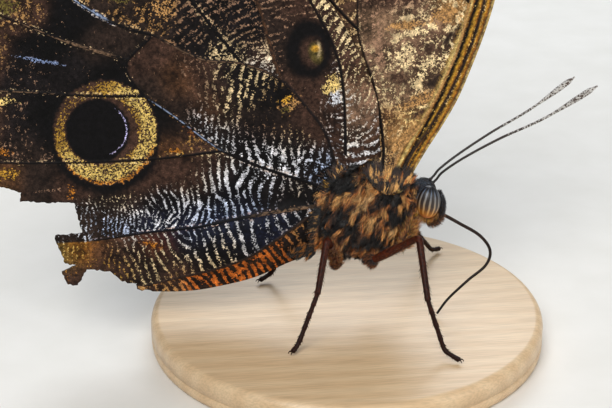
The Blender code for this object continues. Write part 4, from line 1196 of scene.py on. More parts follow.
# %% Masses of the body: centre, half sizes
COAT_DEPTH = 0.55
BODY_VOXEL = 0.32
BODY_MASSES = [
    ((2.2, 0, 22.3), (8.6, 4.3, 8.6)), ((9.4, 0, 22.8), (2.2, 2.6, 3.2)),
    ((11.7, 0, 23.4), (2.55, 1.75, 3.05)), ((-5.4, 0, 21.4), (2.6, 2.6, 3)),
    ((9.7, 1.1, 26), (1.5, 1.3, 1.6)), ((9.7, -1.1, 26), (1.5, 1.3, 1.6)),
]
COXAE = [(7.3, 1.7, 17), (3.2, 2.3, 15.2), (-1.6, 2.2, 15.8)]
COXA_HALF = (1.8, 1.4, 1.8)
for x, y, z in COXAE:
    BODY_MASSES += [((x, side * y, z), COXA_HALF) for _, side in SIDES]
SEGMENT_BEADS = 17
BEAD_LENGTH = 1.7
for number in range(SEGMENT_BEADS):
    share = number / (SEGMENT_BEADS - 1)
    middle = ABDOMEN_FRONT + (ABDOMEN_TIP - ABDOMEN_FRONT) * share * 0.985
    swell = abdomen_size(share) * (1.03 if number % 2 else 0.95)
    BODY_MASSES.append((middle, (BEAD_LENGTH + COAT_DEPTH / 2, ABDOMEN_HALF_WIDTH * swell + 0.15,
                                 ABDOMEN_HALF_HEIGHT * swell + 0.15)))


# %% Melt the masses into one skin
def melt(name, masses, shrink, voxel, rounds):
    """Points, triangles and normals of the closed skin round overlapping ellipsoids."""
    bm = bmesh.new()
    for centre, half in masses:
        for vert in bmesh.ops.create_icosphere(bm, subdivisions=4, radius=1.0)["verts"]:
            for axis in range(3):
                vert.co[axis] = (centre[axis] + vert.co[axis] * (half[axis] - shrink)) * MM
    mesh = bpy.data.meshes.new(name)
    bm.to_mesh(mesh)
    bm.free()
    guide = bpy.data.objects.new(name, mesh)
    scene.collection.objects.link(guide)
    remesh = guide.modifiers.new("melt", "REMESH")
    remesh.mode = "VOXEL"
    remesh.voxel_size = voxel * MM
    relax = guide.modifiers.new("relax", "SMOOTH")
    relax.factor = 0.5
    relax.iterations = rounds
    guide.modifiers.new("triangles", "TRIANGULATE")
    melted = guide.evaluated_get(bpy.context.evaluated_depsgraph_get()).to_mesh()
    arrays = []
    for items, key, kind in ((melted.vertices, "co", np.float32), (melted.polygons, "vertices", np.int32),
                             (melted.vertices, "normal", np.float32)):
        data = np.empty(len(items) * 3, kind)
        items.foreach_get(key, data)
        arrays.append(data.reshape(-1, 3))
    bpy.data.objects.remove(guide)
    bpy.data.meshes.remove(mesh)
    points, faces, normals = arrays
    return points / MM, faces, normals


def body_chart(points):
    """Flat map of the body: along it one way, round it the other."""
    along = (points[:, 0] + 30.0) / 48.0
    axis_height = np.interp(points[:, 0], (-28.0, -5.0, 14.0), (15.3, 21.5, 23.5))
    around = np.arctan2(points[:, 1], axis_height - points[:, 2]) / math.tau + 0.5
    return np.stack((along, around), axis=1) * 0.96 + 0.02


def corner_chart(chart, faces):
    """The map at each face's corners, with no face stretched across the seam."""
    corner = chart[faces]
    wide = np.ptp(corner[..., 1], axis=1) > 0.5
    high = wide[:, None] & (corner[..., 1] < 0.5)
    corner[..., 1] = np.where(high, 0.98, corner[..., 1])
    return corner.reshape(-1, 2)


body_points, body_faces, body_normals = melt("body", BODY_MASSES, COAT_DEPTH, BODY_VOXEL, 6)
print("body skin has", len(body_faces), "faces")

# %% [markdown]
# ## Fur colours
# The thorax of this butterfly is streaked with amber and honey, and its colour here also holds painted light:
# black painted shade in the hollows between slanting tufts, and lighter locks as painted highlight. One
# function says the colour at any point of the body, and both the skin and the hairs use it, so that a
# gap in the fur shows the right colour beneath.

# %% Painted light and shade of the coat: X, Z, reach and level of the locks that show in the photograph
FUR_LIGHT_AND_SHADE_PLACES = [
    (-1.3, 22.7, 1.3, -0.5), (-4.9, 23.5, 1.2, -0.7), (-1.7, 27.6, 1.4, -0.7), (4.6, 25.2, 1.4, -0.8),
    (6.7, 22.9, 1.4, -0.8), (2.1, 18.3, 1.3, -0.6), (4, 19.6, 1.1, -0.3), (5.6, 17.9, 1.3, -0.7),
    (8.6, 21.8, 1.3, -0.5), (-3.2, 20.4, 1.1, -0.6), (0.6, 20.6, 1, -0.4), (3.6, 30.5, 1.4, 0.8),
    (5.4, 29.2, 1.3, 0.9), (5.2, 27.6, 1.1, 0.7), (-4.6, 27, 1.3, 0.7), (-1.2, 25.4, 1.1, 0.8),
    (1.5, 24.3, 1.2, 1.2), (2.8, 26, 1.1, 1.3), (4.9, 23.5, 1.1, 0.9), (2.5, 21.7, 1.1, 1),
    (8.2, 23.6, 1.1, 0.8), (10.1, 25.4, 1.1, 0.7), (6.2, 20, 1.3, 1), (10, 20.9, 1.4, 0.8),
    (9.6, 19, 1.3, 0.6), (-2.4, 17.8, 1.2, 0.8), (0.8, 16.8, 1.3, 0.5), (2.5, 16.2, 1.2, 0.7),
    (-6.7, 15.5, 1.8, 0.4), (-4.6, 18.6, 1.1, 0.6), (8, 18.4, 1.2, 0.9), (4, 17, 1, 0.6),
    (12, 20.6, 1.2, 0.5), (9, 28, 1.3, -0.6), (0.2, 22.9, 0.9, 0.8),
]
FUR_COLOUR_AND_SHADE_RAMP = [(-0.4, "black"), (0, "soot"), (0.25, "earth"), (0.5, "amber"), (0.9, "honey"), (1.3, "peach")]
BAND_WIDTH = 2.4


def palette(names):
    """Some tones as rows of an array."""
    return np.array([rgb(name) for name in names])


def pick(names, random):
    """One of some tones for each random number."""
    return palette(names)[(random * (len(names) - 0.001)).astype(int)]


def lit_and_shaded_bands(points):
    """Slanting bands of painted light and shade: 1 along the middle of a lit band, -1 in the shaded hollow
    between two.
    """
    x, _, z = points.T
    slant = (x - z * 0.8) / 1.28
    wander = 1.5 * np.sin(z * 1.1 + x * 0.5) + 1.2 * np.sin(x * 1.7 - z * 0.6)
    return np.sin(math.tau * slant / BAND_WIDTH + wander)


def coat_colour(points, random):
    """Fur colour from the place on the body and a random number for each hair, with painted shade in the
    hollows and painted highlight on the lit locks.
    """
    x, _, z = points.T
    level = 0.1 + 0.8 * lit_and_shaded_bands(points)
    for place_x, place_z, reach, value in FUR_LIGHT_AND_SHADE_PLACES:
        reach = reach if value > 0 else reach * 1.15
        level = mix(level, value, np.exp(-((x - place_x) ** 2 + (z - place_z) ** 2) / reach ** 2))
    level = level * 1.1 - 0.06 + 0.75 * (random - 0.5)
    stops, names = zip(*FUR_COLOUR_AND_SHADE_RAMP)
    colour = np.stack([np.interp(level, stops, channel) for channel in palette(names).T], axis=1)
    blue = rgb("slate") * (0.3 + 0.9 * random[:, None])
    colour = mix(colour, blue, smooth_step(x + 0.8 * z, 30.8, 32.2))
    ringed = np.where(np.sin(math.tau * (x + 5.5) / 2.75) > 0.35, 0.5, 1.0)
    abdomen = rgb("fawn") * ((0.45 + 0.4 * random) * ringed)[:, None]
    return mix(colour, abdomen, smooth_step(-5.0 - x, 0.0, 2.5) * smooth_step(-x, 5.0, 9.0))


# %% Fur finish
HAIR_ROOT = (0.004, 0.003, 0.003, 1.0)


def fur_finish():
    """Hair that is darker at its root, with a soft sheen."""
    material, tree, shader = new_finish("body_fur", 0.55, Specular_IOR_Level=0.3, Sheen_Weight=0.15)
    out = rescale(tree, stored(tree, "along"), 0.0, 0.55, 0.22, 1.0)
    colour = blend_colours(tree, out, HAIR_ROOT, stored(tree, "tint", "Color"))
    grain = noise(tree, 4200.0)
    plug(tree, shader.inputs["Base Color"], shaded(tree, colour, rescale(tree, grain, 0.3, 0.7, 0.7, 1.3)))
    raise_surface(tree, shader, grain, 0.00004)
    return material


body_fur = fur_finish()
skin_tint = coat_colour(body_points, np.random.default_rng(31).random(len(body_points))) * 0.6
body = new_piece("skin_body", body_points, body_faces, body_fur,
                 {"tint": skin_tint, "along": np.full(len(body_points), 0.35)},
                 corner_chart(body_chart(body_points), body_faces))
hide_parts("thorax", "head", "abdomen")
print("body coloured")

# %% [markdown]
# ## Fur
# The export drops particle hair, so each hair is a small closed mesh: a three-sided spike with a bend in
# the middle, ten triangles. Hairs are drawn at random over the skin and gathered into tufts: each
# leans towards the tip of its nearest tuft. A hair that grows beside a wing passes over it, and one
# that grows behind a wing stays behind.

# %% Spikes in one mesh
SPIKE_FACES = np.array([(0, 2, 1), (0, 1, 4), (0, 4, 3), (1, 2, 5), (1, 5, 4), (2, 0, 3), (2, 3, 5),
                        (3, 4, 6), (4, 5, 6), (5, 3, 6)])
SPIKE_ALONG = (0.0, 0.0, 0.0, 0.55, 0.55, 0.55, 1.0)
PATCH_SIZE = 0.003
SPIKE_PATCH = np.array([(0, 0), (1, 0), (0.5, 0.2), (0, 0.7), (1, 0.7), (0.5, 0.8), (0.5, 1)])
SPIKE_PATCH = (SPIKE_PATCH - 0.5) * PATCH_SIZE


def spikes(name, roots, bends, tips, radii, tints, sunk=0.0):
    """One piece of closed bent spikes that start a little under the skin."""
    count = len(roots)
    starts = roots - sunk
    across = unit(np.cross(bends - starts, (0.31, 0.42, 0.85)))
    third = unit(np.cross(bends - starts, across))
    points = np.empty((count, 7, 3))
    for number in range(3):
        angle = math.tau * number / 3
        spoke = (across * math.cos(angle) + third * math.sin(angle)) * radii[:, None]
        points[:, number] = starts + spoke
        points[:, number + 3] = bends + spoke * 0.7
    points[:, 6] = tips
    faces = (SPIKE_FACES + 7 * np.arange(count)[:, None, None]).reshape(-1, 3)
    chart = (body_chart(roots)[:, None] + SPIKE_PATCH).reshape(-1, 2)
    values = {"tint": np.repeat(tints, 7, axis=0), "along": np.tile(SPIKE_ALONG, count)}
    piece = new_piece(name, points.reshape(-1, 3), faces, body_fur, values, chart[faces.ravel()])


# %% Draw roots on the body
def scatter(count, seed, wanted):
    """Random places on the body with their normals, evenly by area where they are wanted."""
    corners = body_points[body_faces]
    area = np.linalg.norm(np.cross(corners[:, 1] - corners[:, 0], corners[:, 2] - corners[:, 0]), axis=1)
    area = area * wanted(corners.mean(axis=1))
    rng = np.random.default_rng(seed)
    chosen = rng.choice(len(body_faces), count, p=area / area.sum())
    a, b = rng.random((2, count, 1))
    flip = a + b > 1
    a, b = np.where(flip, 1 - a, a), np.where(flip, 1 - b, b)
    spot = corners[chosen]
    places = spot[:, 0] + (spot[:, 1] - spot[:, 0]) * a + (spot[:, 2] - spot[:, 0]) * b
    return places, body_normals[body_faces[chosen, 0]], rng


def nearest_of(points, centres):
    """Index of the nearest centre for each point."""
    nearest = np.empty(len(points), int)
    for start in range(0, len(points), 4000):
        part = points[start:start + 4000]
        nearest[start:start + 4000] = ((part[:, None] - centres[None]) ** 2).sum(axis=2).argmin(axis=1)
    return nearest


# %% Keep hairs on their own side of the wings
def beside_wings(roots, spots, room):
    """Moves hair points off the wings: under a wing where the root is, over it otherwise."""
    spots = spots.copy()
    side = np.where(roots[:, 1] < 0, -1.0, 1.0)
    for outline, middle in ((fore_outline, forewing_middle), (hind_outlines["right"], hindwing_middle)):
        root_under = is_inside(roots[:, 0], roots[:, 2], outline)
        on_wing = is_inside(spots[:, 0], spots[:, 2], outline)
        level = middle(spots[:, 0], spots[:, 2])
        depth = spots[:, 1] * side
        under = np.minimum(depth, level - WING_THICKNESS / 2 - room)
        over = np.maximum(depth, level + WING_THICKNESS / 2 + VEIN_HEIGHT + room)
        spots[:, 1] = np.where(on_wing, np.where(root_under, under, over), depth) * side
    return spots


# %% Comb a coat
BRIGHTEST = 0.95
# Brightness of single hairs: the darkest are painted shade between locks, the brightest painted highlight.
STRAND_LIGHT_LEVELS = (0.3, 0.75, 1.1, 1.6)
STRAND_LIGHT_SHARES = (0.28, 0.27, 0.25, 0.2)


def belly(places):
    """Short hair below, so that the coat ends where it does in the photograph."""
    return 1 - 0.4 * smooth_step(17.5 - places[:, 2], 0.0, 2.5)


def comb(name, count, seed, wanted, lie, stand, lengths, radius, tufts, gather, lighten=1.0):
    """Coat of tufted hair over the part of the body that wanted picks."""
    roots, normals, rng = scatter(count, seed, wanted)
    centres = scatter(tufts, seed + 1, wanted)[0]
    tuft = nearest_of(roots, centres)
    random = np.random.default_rng(seed + 2).random(tufts)
    flow = np.array(lie) + np.random.default_rng(seed + 3).normal(0, 0.3, (tufts, 3))
    flow = flow[tuft] + rng.normal(0, 0.08, (count, 3))
    flow = unit(flow - (flow * normals).sum(axis=1)[:, None] * normals)
    length = (rng.uniform(*lengths, count) * (0.75 + 0.5 * random[tuft]) * belly(roots))[:, None]
    way = unit(flow + normals * (stand * (0.7 + 0.6 * random[tuft]))[:, None])
    pull = (centres[tuft] - roots) * gather
    curl = np.random.default_rng(seed + 4).normal(0, 0.16, (tufts, 3))[tuft]
    bends = roots + (way * 0.5 + normals * 0.16 + curl) * length + pull * 0.35
    tips = roots + way * length + pull
    shown = mix(centres[tuft], roots + way * length * 0.4, 0.55)
    strand_light = rng.choice(STRAND_LIGHT_LEVELS, count, p=STRAND_LIGHT_SHARES)[:, None]
    tints = coat_colour(shown, mix(random[tuft], rng.random(count), 0.5)) * strand_light * lighten
    tints /= np.maximum(tints.max(axis=1) / BRIGHTEST, 1.0)[:, None]
    radii = radius * rng.uniform(0.7, 1.2, count)
    bends, tips = (beside_wings(roots, spots, radius) for spots in (bends, tips))
    spikes(name, roots, bends, tips, radii, tints, normals * 0.1)
    print(name, "has", count, "hairs")


# %% Coats of the thorax, head and abdomen
def thorax_side(places, side):
    """Which places lie on one side of the thorax."""
    return (places[:, 0] > -5.5) & (places[:, 0] < 9.6) & (places[:, 1] * side > -0.3)


def lit_crests(places, side):
    """Which places of it stand out as light tufts, which get a painted highlight."""
    return thorax_side(places, side) & (lit_and_shaded_bands(places) > 0.1) & (places[:, 2] > 17)


LIE = (-0.6, 0.0, -0.8)
for (word, side), seed in zip(SIDES, (41, 51)):
    comb(f"fur_thorax_{word}", 19000, seed, lambda places: thorax_side(places, side), LIE, 0.3, (1.2, 2.2),
         0.05, 900, 0.35)
    # Crest hairs are lightened by 1.35 as a painted highlight.
    comb(f"fur_crests_{word}", 11000, seed + 7, lambda places: lit_crests(places, side), LIE, 0.5, (1.4, 2.5),
         0.04, 500, 0.6, 1.35)
comb("fur_head", 8000, 61, lambda places: places[:, 0] >= 9.4, (-0.5, 0.0, -0.6), 0.5, (0.5, 0.9),
     0.045, 400, 0.3, 0.9)
comb("fur_cheeks", 1600, 66, lambda places: (places[:, 0] > 10.6) & (places[:, 2] < 21.6),
     (-0.45, 0.0, -1.0), 0.5, (1.1, 1.8), 0.06, 60, 0.4, 1.2)
comb("fur_abdomen", 12000, 71, lambda places: places[:, 0] <= -5.2, (-1.0, 0.0, -0.25), 0.2, (0.6, 1.1),
     0.05, 500, 0.2)

# %% Hair on the wings' roots: centre, half sizes, lie, tones, count
ROOT_HAIR = {
    "forewing": [((6.4, 27.4), (2.8, 1.3), (0.5, 0, 1),
                  ("honey", "earth", "amber", "bark", "soot", "tan"), 1500),
                 ((3.4, 28.2), (1.4, 1.7), (-0.1, 0, 1), ("bark", "umber", "bark", "soot", "honey"), 900)],
    "hindwing": [((-3.2, 25.6), (0.8, 2.4), (-0.9, 0, 0.45), ("bark", "soot", "black", "earth", "gold"), 700),
                 ((-1, 29.2), (1.9, 1), (-0.5, 0, 1), ("earth", "bark", "soot", "umber", "honey"), 800),
                 ((-4.9, 20.5), (0.8, 3.4), (-1, 0, -0.2), ("bark", "soot", "black", "tan"), 800),
                 ((-6.6, 16.6), (2.4, 1.2), (-0.7, 0, -0.7), ("soot", "bark", "black", "ochre"), 900)],
}
ROOT_LENGTHS = {"forewing": (1.1, 2.4), "hindwing": (0.7, 1.5)}
ROOT_GATHER = {"forewing": 0.25, "hindwing": 0.6}
LOCKS = 60


def root_hair(wing_name, side, outline, middle, seed):
    """Hair that grows on a wing near its root and lies outwards along it."""
    rng = np.random.default_rng(seed)
    for number, (centre, half, way, tones, count) in enumerate(ROOT_HAIR[wing_name]):
        flat = rng.normal(0, 0.5, (count, 2)) * half + centre
        flat = flat[is_inside(flat[:, 0], flat[:, 1], outline)]
        lock = nearest_of(flat, flat[:LOCKS])
        depth = middle(flat[:, 0], flat[:, 1]) + WING_THICKNESS / 2 - 0.05
        roots = np.stack((flat[:, 0], side * depth, flat[:, 1]), axis=1)
        ways = np.array(way) + rng.normal(0, 0.25, (LOCKS, 3))[lock] + rng.normal(0, 0.08, roots.shape)
        ways[:, 1] = side * np.abs(ways[:, 1])
        ways = unit(ways) * rng.uniform(*ROOT_LENGTHS[wing_name], len(roots))[:, None]
        pull = (roots[lock] - roots) * (ROOT_GATHER[wing_name], 0, ROOT_GATHER[wing_name])
        tips = roots + ways + pull
        bends = roots + ways * 0.5 + pull * 0.6
        for spots, lift in ((bends, 0.34), (tips, 0.22)):
            spots[:, 1] = side * (middle(spots[:, 0], spots[:, 2]) + WING_THICKNESS / 2 + lift)
        tints = palette(tones)[rng.integers(0, len(tones), LOCKS)][lock]
        tints = tints * rng.uniform(0.6, 1.2, (len(roots), 1))
        radii = rng.uniform(0.04, 0.07, len(roots))
        spikes(f"fur_{wing_name}_{side}_{number}", roots, bends, tips, radii, tints)


for word, side in SIDES:
    root_hair("forewing", side, fore_outline, forewing_middle, 131 + side)
    root_hair("hindwing", side, hind_outlines[word], hindwing_middle, 141 + side)
print("wing roots haired")

# %% [markdown]
# ## Tubes
# Legs, antennae, palps and the feeding tube are all tubes with a changing width. A tube made as rings of
# points can swell at each joint and carry a value along its length, which a curve's bevel can't.

# %% Tube along a line
def ring_faces(rows, around):
    """Triangles between rings of points, and round the two end points that follow the rings."""
    ring = np.arange(around)
    following = np.roll(ring, -1)
    last, start = (rows - 1) * around, rows * around
    faces = []
    for low in range(0, last, around):
        high = low + around
        faces.append((low + ring, low + following, high + following))
        faces.append((low + ring, high + following, high + ring))
    faces += [(following, ring, np.full(around, start)),
              (last + ring, last + following, np.full(around, start + 1))]
    return np.vstack([np.stack(corners, axis=1) for corners in faces])


def tube(line, radii, around=12):
    """Points and triangles of a closed round tube, and each point's share of the way along it."""
    ahead = unit(np.gradient(line, axis=0))
    side = np.cross(ahead[0], (0.13, 0.97, 0.21))
    angles = (np.arange(around) / around * math.tau)[:, None]
    rings = []
    for place, way, radius in zip(line, ahead, radii):
        side = unit(side - way * (side @ way))
        rings.append(place + (np.cos(angles) * side + np.sin(angles) * np.cross(way, side)) * radius)
    ends = [line[:1] - ahead[:1] * radii[0] * 0.5, line[-1:] + ahead[-1:] * radii[-1] * 0.5]
    share = np.concatenate((np.repeat(np.linspace(0, 1, len(line)), around), (0.0, 1.0)))
    return np.vstack(rings + ends), ring_faces(len(line), around), share


def above_sole(points, lift=0.0):
    """Keeps points on the base, in place."""
    points[:, 2] = np.maximum(points[:, 2], SOLE_LEVEL + lift)


# %% Horny shells and furry cores
def chitin_finish(name, dark, light, gloss):
    """Horny brown shell: darker towards the foot, with fine pits."""
    material, tree, shader = new_finish(name, gloss, Specular_IOR_Level=0.14)
    grain = noise(tree, 2600.0, 5.0)
    along = calculate(tree, "MULTIPLY", stored(tree, "along"), -0.35)
    share = calculate(tree, "MULTIPLY_ADD", grain, 0.9, along)
    plug(tree, shader.inputs["Base Color"], ramp(tree, share, [(0.2, TONES[dark]), (0.75, TONES[light])]))
    raise_surface(tree, shader, calculate(tree, "ADD", grains(tree, 9000.0), grain), 0.00003, 0.5)
    return material


def shell(name, points, faces, along, finish):
    """Horny piece in place of a solid."""
    piece = new_piece(f"shell_{name}", points, faces, finish, {"along": along})
    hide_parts(name)


def furry_core(name, line, radii, tint):
    """Tube beneath a brush of hair, in place of a solid."""
    points, faces, _ = tube(line, radii)
    values = {"along": np.full(len(points), 0.4), "tint": np.tile(rgb(tint), (len(points), 1))}
    piece = new_piece(f"core_{name}", points, faces, body_fur, values)
    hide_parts(name)


leg_shell = chitin_finish("leg_shell", "shadow", "chestnut", 0.42)
print("tubes ready")

# %% [markdown]
# ## Legs
# An owl butterfly stands on four legs: its forelegs are small furry brushes held against the breast. A
# walking leg has a stout thigh, a thinner shin with rows of spines and two spurs at its end, and a
# foot of five short joints with a pair of claws. Each is built along the same joints as the solid leg.

# %% Leg joints, in millimetres
LEG_JOINTS = {
    "midleg_right": [(2.8, -4.7, 15.1), (9.5, -9.5, 21.1), (9.9, -15.6, 13.6), (12.1, -18.5, 6.4),
        (14.1, -20.2, 5.62)],
    "midleg_left": [(4.6, 4, 13.5), (10, 9, 19.6), (13.8, 13.6, 10.8), (16.9, 16.8, 6.1),
        (18.5, 18.2, 5.62)],
    "hindleg_right": [(-1.9, -4, 14.5), (-4.2, -7.4, 20.6), (-6.1, -11.2, 13.5), (-9.4, -13.9, 6.4),
        (-10.4, -14.7, 5.62)],
    "hindleg_left": [(-1.9, 4, 14.5), (-5.2, 7.3, 20), (-7.9, 9.2, 12.6), (-11, 10.9, 6.2),
        (-12.9, 9.9, 5.62)],
    "foreleg_right": [(8, -3.9, 16.8), (8.9, -3.7, 18.9), (9.6, -3.3, 20.8)],
    "foreleg_left": [(8, 3.9, 16.8), (8.9, 3.7, 18.9), (9.6, 3.3, 20.8)],
}
SOLE_LEVEL = 5.32
LEG_STEP = 0.16
FOOT_JOINTS = 5
THIGH_HAIR = (("chestnut", "chestnut", "bark", "amber"), 500, (0.3, 0.6))
# Long hair on the right hind thigh: amber and honey, partly painted orange light from below.
LONG_ORANGE_LIT_THIGH_HAIR = (("amber", "honey", "rust", "amber", "bark"), 1500, (0.6, 1.2))


# %% Centre line and thorns
def leg_line(joints, room=0.8, steps=6):
    """Leg's centre line with rounded corners, the distance along it, and where on it each joint lies."""
    joints = np.array(joints, float)
    shares = np.linspace(0, 1, steps)[:, None]
    line = [joints[:1]]
    for before, here, after in zip(joints, joints[1:], joints[2:]):
        into = here + unit(before - here) * room
        out = here + unit(after - here) * room
        line.append(mix(mix(into, here, shares), mix(here, out, shares), shares))
    rough = np.vstack(line + [joints[-1:]])
    travelled = np.arange(0.0, travelled_along(rough)[-1], LEG_STEP)
    fine = points_at(rough, travelled)
    marks = [travelled[np.argmin(np.linalg.norm(fine - joint, axis=1))] for joint in joints]
    return fine, travelled, marks


def cone(start, end, radius, along):
    """Small thorn as a short closed tube that runs to a point."""
    shares = np.linspace(0, 1, 4)
    points, faces, _ = tube(start + (end - start) * shares[:, None], radius * (1.02 - shares), 5)
    return points, faces, np.full(len(points), along)


# %% One walking leg
def walking_leg(name, joints, seed):
    """Thigh, shin, foot, spines, spurs and claws."""
    rng = np.random.default_rng(seed)
    line, travelled, (hip, knee, ankle, _, end) = leg_line(joints)
    places = (hip, hip + (knee - hip) * 0.35, knee - 0.7, knee, knee + 0.8, ankle - 0.5, ankle)
    radii = np.interp(travelled, places, (0.55, 0.72, 0.52, 0.6, 0.56, 0.46, 0.52))
    joint_step = (end - ankle) / FOOT_JOINTS
    bead = np.mod(travelled - ankle, joint_step) / joint_step
    radii = np.where(travelled > ankle, 0.34 + 0.08 * bead ** 2, radii)
    points, faces, share = tube(line, radii)
    above_sole(points)
    parts = [(points, faces, share)]
    ahead = unit(np.gradient(line, axis=0))
    for place in np.flatnonzero((travelled > knee + 0.6) & (travelled < end - 0.3))[::3]:
        for _ in range(3):
            out = unit(np.cross(ahead[place], rng.normal(size=3)))
            start = line[place] + out * radii[place] * 0.85
            reach = 0.6 if travelled[place] < ankle else 0.45
            tip = start + out * reach * 0.7 + ahead[place] * reach
            if tip[2] > SOLE_LEVEL:
                parts.append(cone(start, tip, 0.06, share[place * 12]))
    spur = int(np.argmin(np.abs(travelled - ankle)))
    tip = line[-1]
    flat = unit(ahead[-1] * (1, 1, 0))
    for _, side in SIDES:
        out = np.cross(ahead[spur], (0, 0, 1)) * side
        start = line[spur] + out * 0.3
        parts.append(cone(start, start + ahead[spur] + out * 0.45, 0.11, 0.6))
        wide = np.array((-flat[1], flat[0], 0.0)) * side
        hook = smooth_line([tip - flat * 0.1, tip + flat * 0.3 + wide * 0.22 + (0, 0, 0.12),
                            tip + flat * 0.55 + wide * 0.3 - (0, 0, 0.02),
                            tip + flat * 0.62 + wide * 0.28 - (0, 0, 0.22)], 0.08)
        points, faces, _ = tube(hook, np.linspace(0.17, 0.04, len(hook)), 6)
        above_sole(points)
        parts.append((points, faces, np.ones(len(points))))
    firsts = np.cumsum([0] + [len(points) for points, _, _ in parts])
    faces = np.vstack([faces + first for (_, faces, _), first in zip(parts, firsts)])
    points, _, along = zip(*parts)
    shell(name, np.vstack(points), faces, np.concatenate(along), leg_shell)
    return line[travelled < knee]


# %% Hair along a tube
def bristle(name, line, radius, count, lengths, thickness, tones, seed, droop=(0, 0, -1), reach=(0.0, 1.0)):
    """Short hairs along a tube, swept towards its end."""
    rng = np.random.default_rng(seed)
    share = rng.uniform(*reach, count)
    place = share * (len(line) - 1)
    low = np.minimum(place.astype(int), len(line) - 2)
    ahead = line[low + 1] - line[low]
    spot = line[low] + ahead * (place - low)[:, None]
    ahead = unit(ahead)
    out = unit(np.cross(ahead, rng.normal(size=(count, 3))))
    width = np.interp(share, np.linspace(0, 1, len(radius)), radius)
    roots = spot + out * (width * 0.8)[:, None]
    length = rng.uniform(*lengths, count)[:, None]
    way = unit(out * 0.55 + ahead * 0.75 + np.array(droop) * 0.25 + rng.normal(0, 0.12, (count, 3)))
    tips = roots + way * length
    bends = roots + (way * 0.5 + out * 0.1) * length
    above_sole(tips)
    above_sole(bends, 0.02)
    tints = palette(tones)[rng.integers(0, len(tones), count)] * rng.uniform(0.6, 1.2, (count, 1))
    spikes(name, roots, bends, tips, thickness * rng.uniform(0.7, 1.2, count), tints, out * 0.05)


# %% All six legs
for number, (name, joints) in enumerate(LEG_JOINTS.items()):
    if name.startswith("foreleg"):
        line = smooth_line(joints, 0.12)
        radii = np.interp(np.linspace(0, 1, len(line)), (0, 0.4, 0.8, 1), (0.42, 0.5, 0.32, 0.12))
        furry_core(name, line, radii, "ochre")
        bristle(f"fur_{name}", line, radii, 1500, (0.9, 1.9), 0.05,
                ("amber", "honey", "soot", "rust", "amber", "gold"), 80 + number)
        continue
    thigh = walking_leg(name, joints, 90 + number)
    tones, count, lengths = LONG_ORANGE_LIT_THIGH_HAIR if name == "hindleg_right" else THIGH_HAIR
    bristle(f"fur_{name}", thigh, (0.55, 0.66, 0.5), count, lengths, 0.04, tones, 100 + number,
            reach=(0.0, 0.8))
    bristle(f"fur_root_{name}", thigh, (0.6, 0.6), 500, (0.7, 1.3), 0.05,
            ("soot", "bark", "rust", "amber", "black"), 110 + number, (-4, 0, -2), (0.0, 0.12))
print(len(LEG_JOINTS), "legs built")

# %% [markdown]
# ## Eyes
# A butterfly's eye is a dome of thousands of lenses. This one has curved upright stripes, greyish blue
# above and golden below. The stripes follow the meridians of the dome, so each point stores its turn
# round the upright axis, and the material draws the stripes from that.

# %% Eye finish
EYE_STRIPE_TURN = 14.4
EYE_LEAN = math.radians(13)
PALE_STRIPES = [(0.06, TONES["flame"]), (0.22, tone(212, 150, 76)), (0.45, tone(160, 136, 104)),
                (0.65, tone(124, 120, 116)), (0.85, tone(84, 98, 118)), (0.97, TONES["soot"])]
DEEP_STRIPES = [(0.06, TONES["flame"]), (0.2, TONES["ochre"]), (0.36, TONES["earth"]), (0.5, TONES["bark"]),
                (1.0, TONES["black"])]


def eye_finish():
    """Striped, finely faceted, with a soft moist gloss."""
    material, tree, shader = new_finish("eye_lens", 0.4, Specular_IOR_Level=0.35, Coat_Weight=0.25,
                                        Coat_Roughness=0.28)
    turn = calculate(tree, "MULTIPLY", stored(tree, "turn"), EYE_STRIPE_TURN)
    wave = calculate(tree, "COSINE", calculate(tree, "MULTIPLY_ADD", noise(tree, 900.0), 1.6, turn))
    height = stored(tree, "height")
    pale, deep = ramp(tree, height, PALE_STRIPES), ramp(tree, height, DEEP_STRIPES)
    stripe = rescale(tree, wave, -0.1, 1.0, smooth=True)
    plug(tree, shader.inputs["Base Color"], blend_colours(tree, stripe, deep, pale))
    raise_surface(tree, shader, grains(tree, 14000.0), 0.00002, 0.35)
    return material


# %% Two domed eyes
EYE_CENTRE = np.array((12.3, 1.45, 23.35))
EYE_HALF = np.array((1.95, 2.0, 2.7))
EYE_ROWS, EYE_AROUND = 39, 64


def eye(name, side, finish):
    """Dome with a flat back, in place of the solid eye."""
    tilt = np.linspace(0, math.pi / 2, EYE_ROWS + 1)[1:]
    turn = -np.arange(EYE_AROUND) / EYE_AROUND * math.tau
    tilt, turn = np.meshgrid(tilt, turn, indexing="ij")
    dome = np.stack((np.sin(tilt) * np.cos(turn), np.cos(tilt), np.sin(tilt) * np.sin(turn)), axis=-1)
    dome = np.vstack((dome.reshape(-1, 3), [(0.0, 1.0, 0.0), (0.0, 0.0, 0.0)]))
    points = (dome * EYE_HALF + EYE_CENTRE) * (1, side, 1)
    faces = ring_faces(EYE_ROWS, EYE_AROUND)
    if side > 0:
        faces = faces[:, ::-1]
    forward = dome[:, 0] * math.cos(EYE_LEAN) - dome[:, 2] * math.sin(EYE_LEAN)
    upward = dome[:, 2] * math.cos(EYE_LEAN) + dome[:, 0] * math.sin(EYE_LEAN)
    values = {"turn": np.arctan2(forward, np.maximum(dome[:, 1], 0.02)), "height": upward * 0.5 + 0.5}
    piece = new_piece(f"dome_{name}", points, faces, finish, values)
    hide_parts(name)


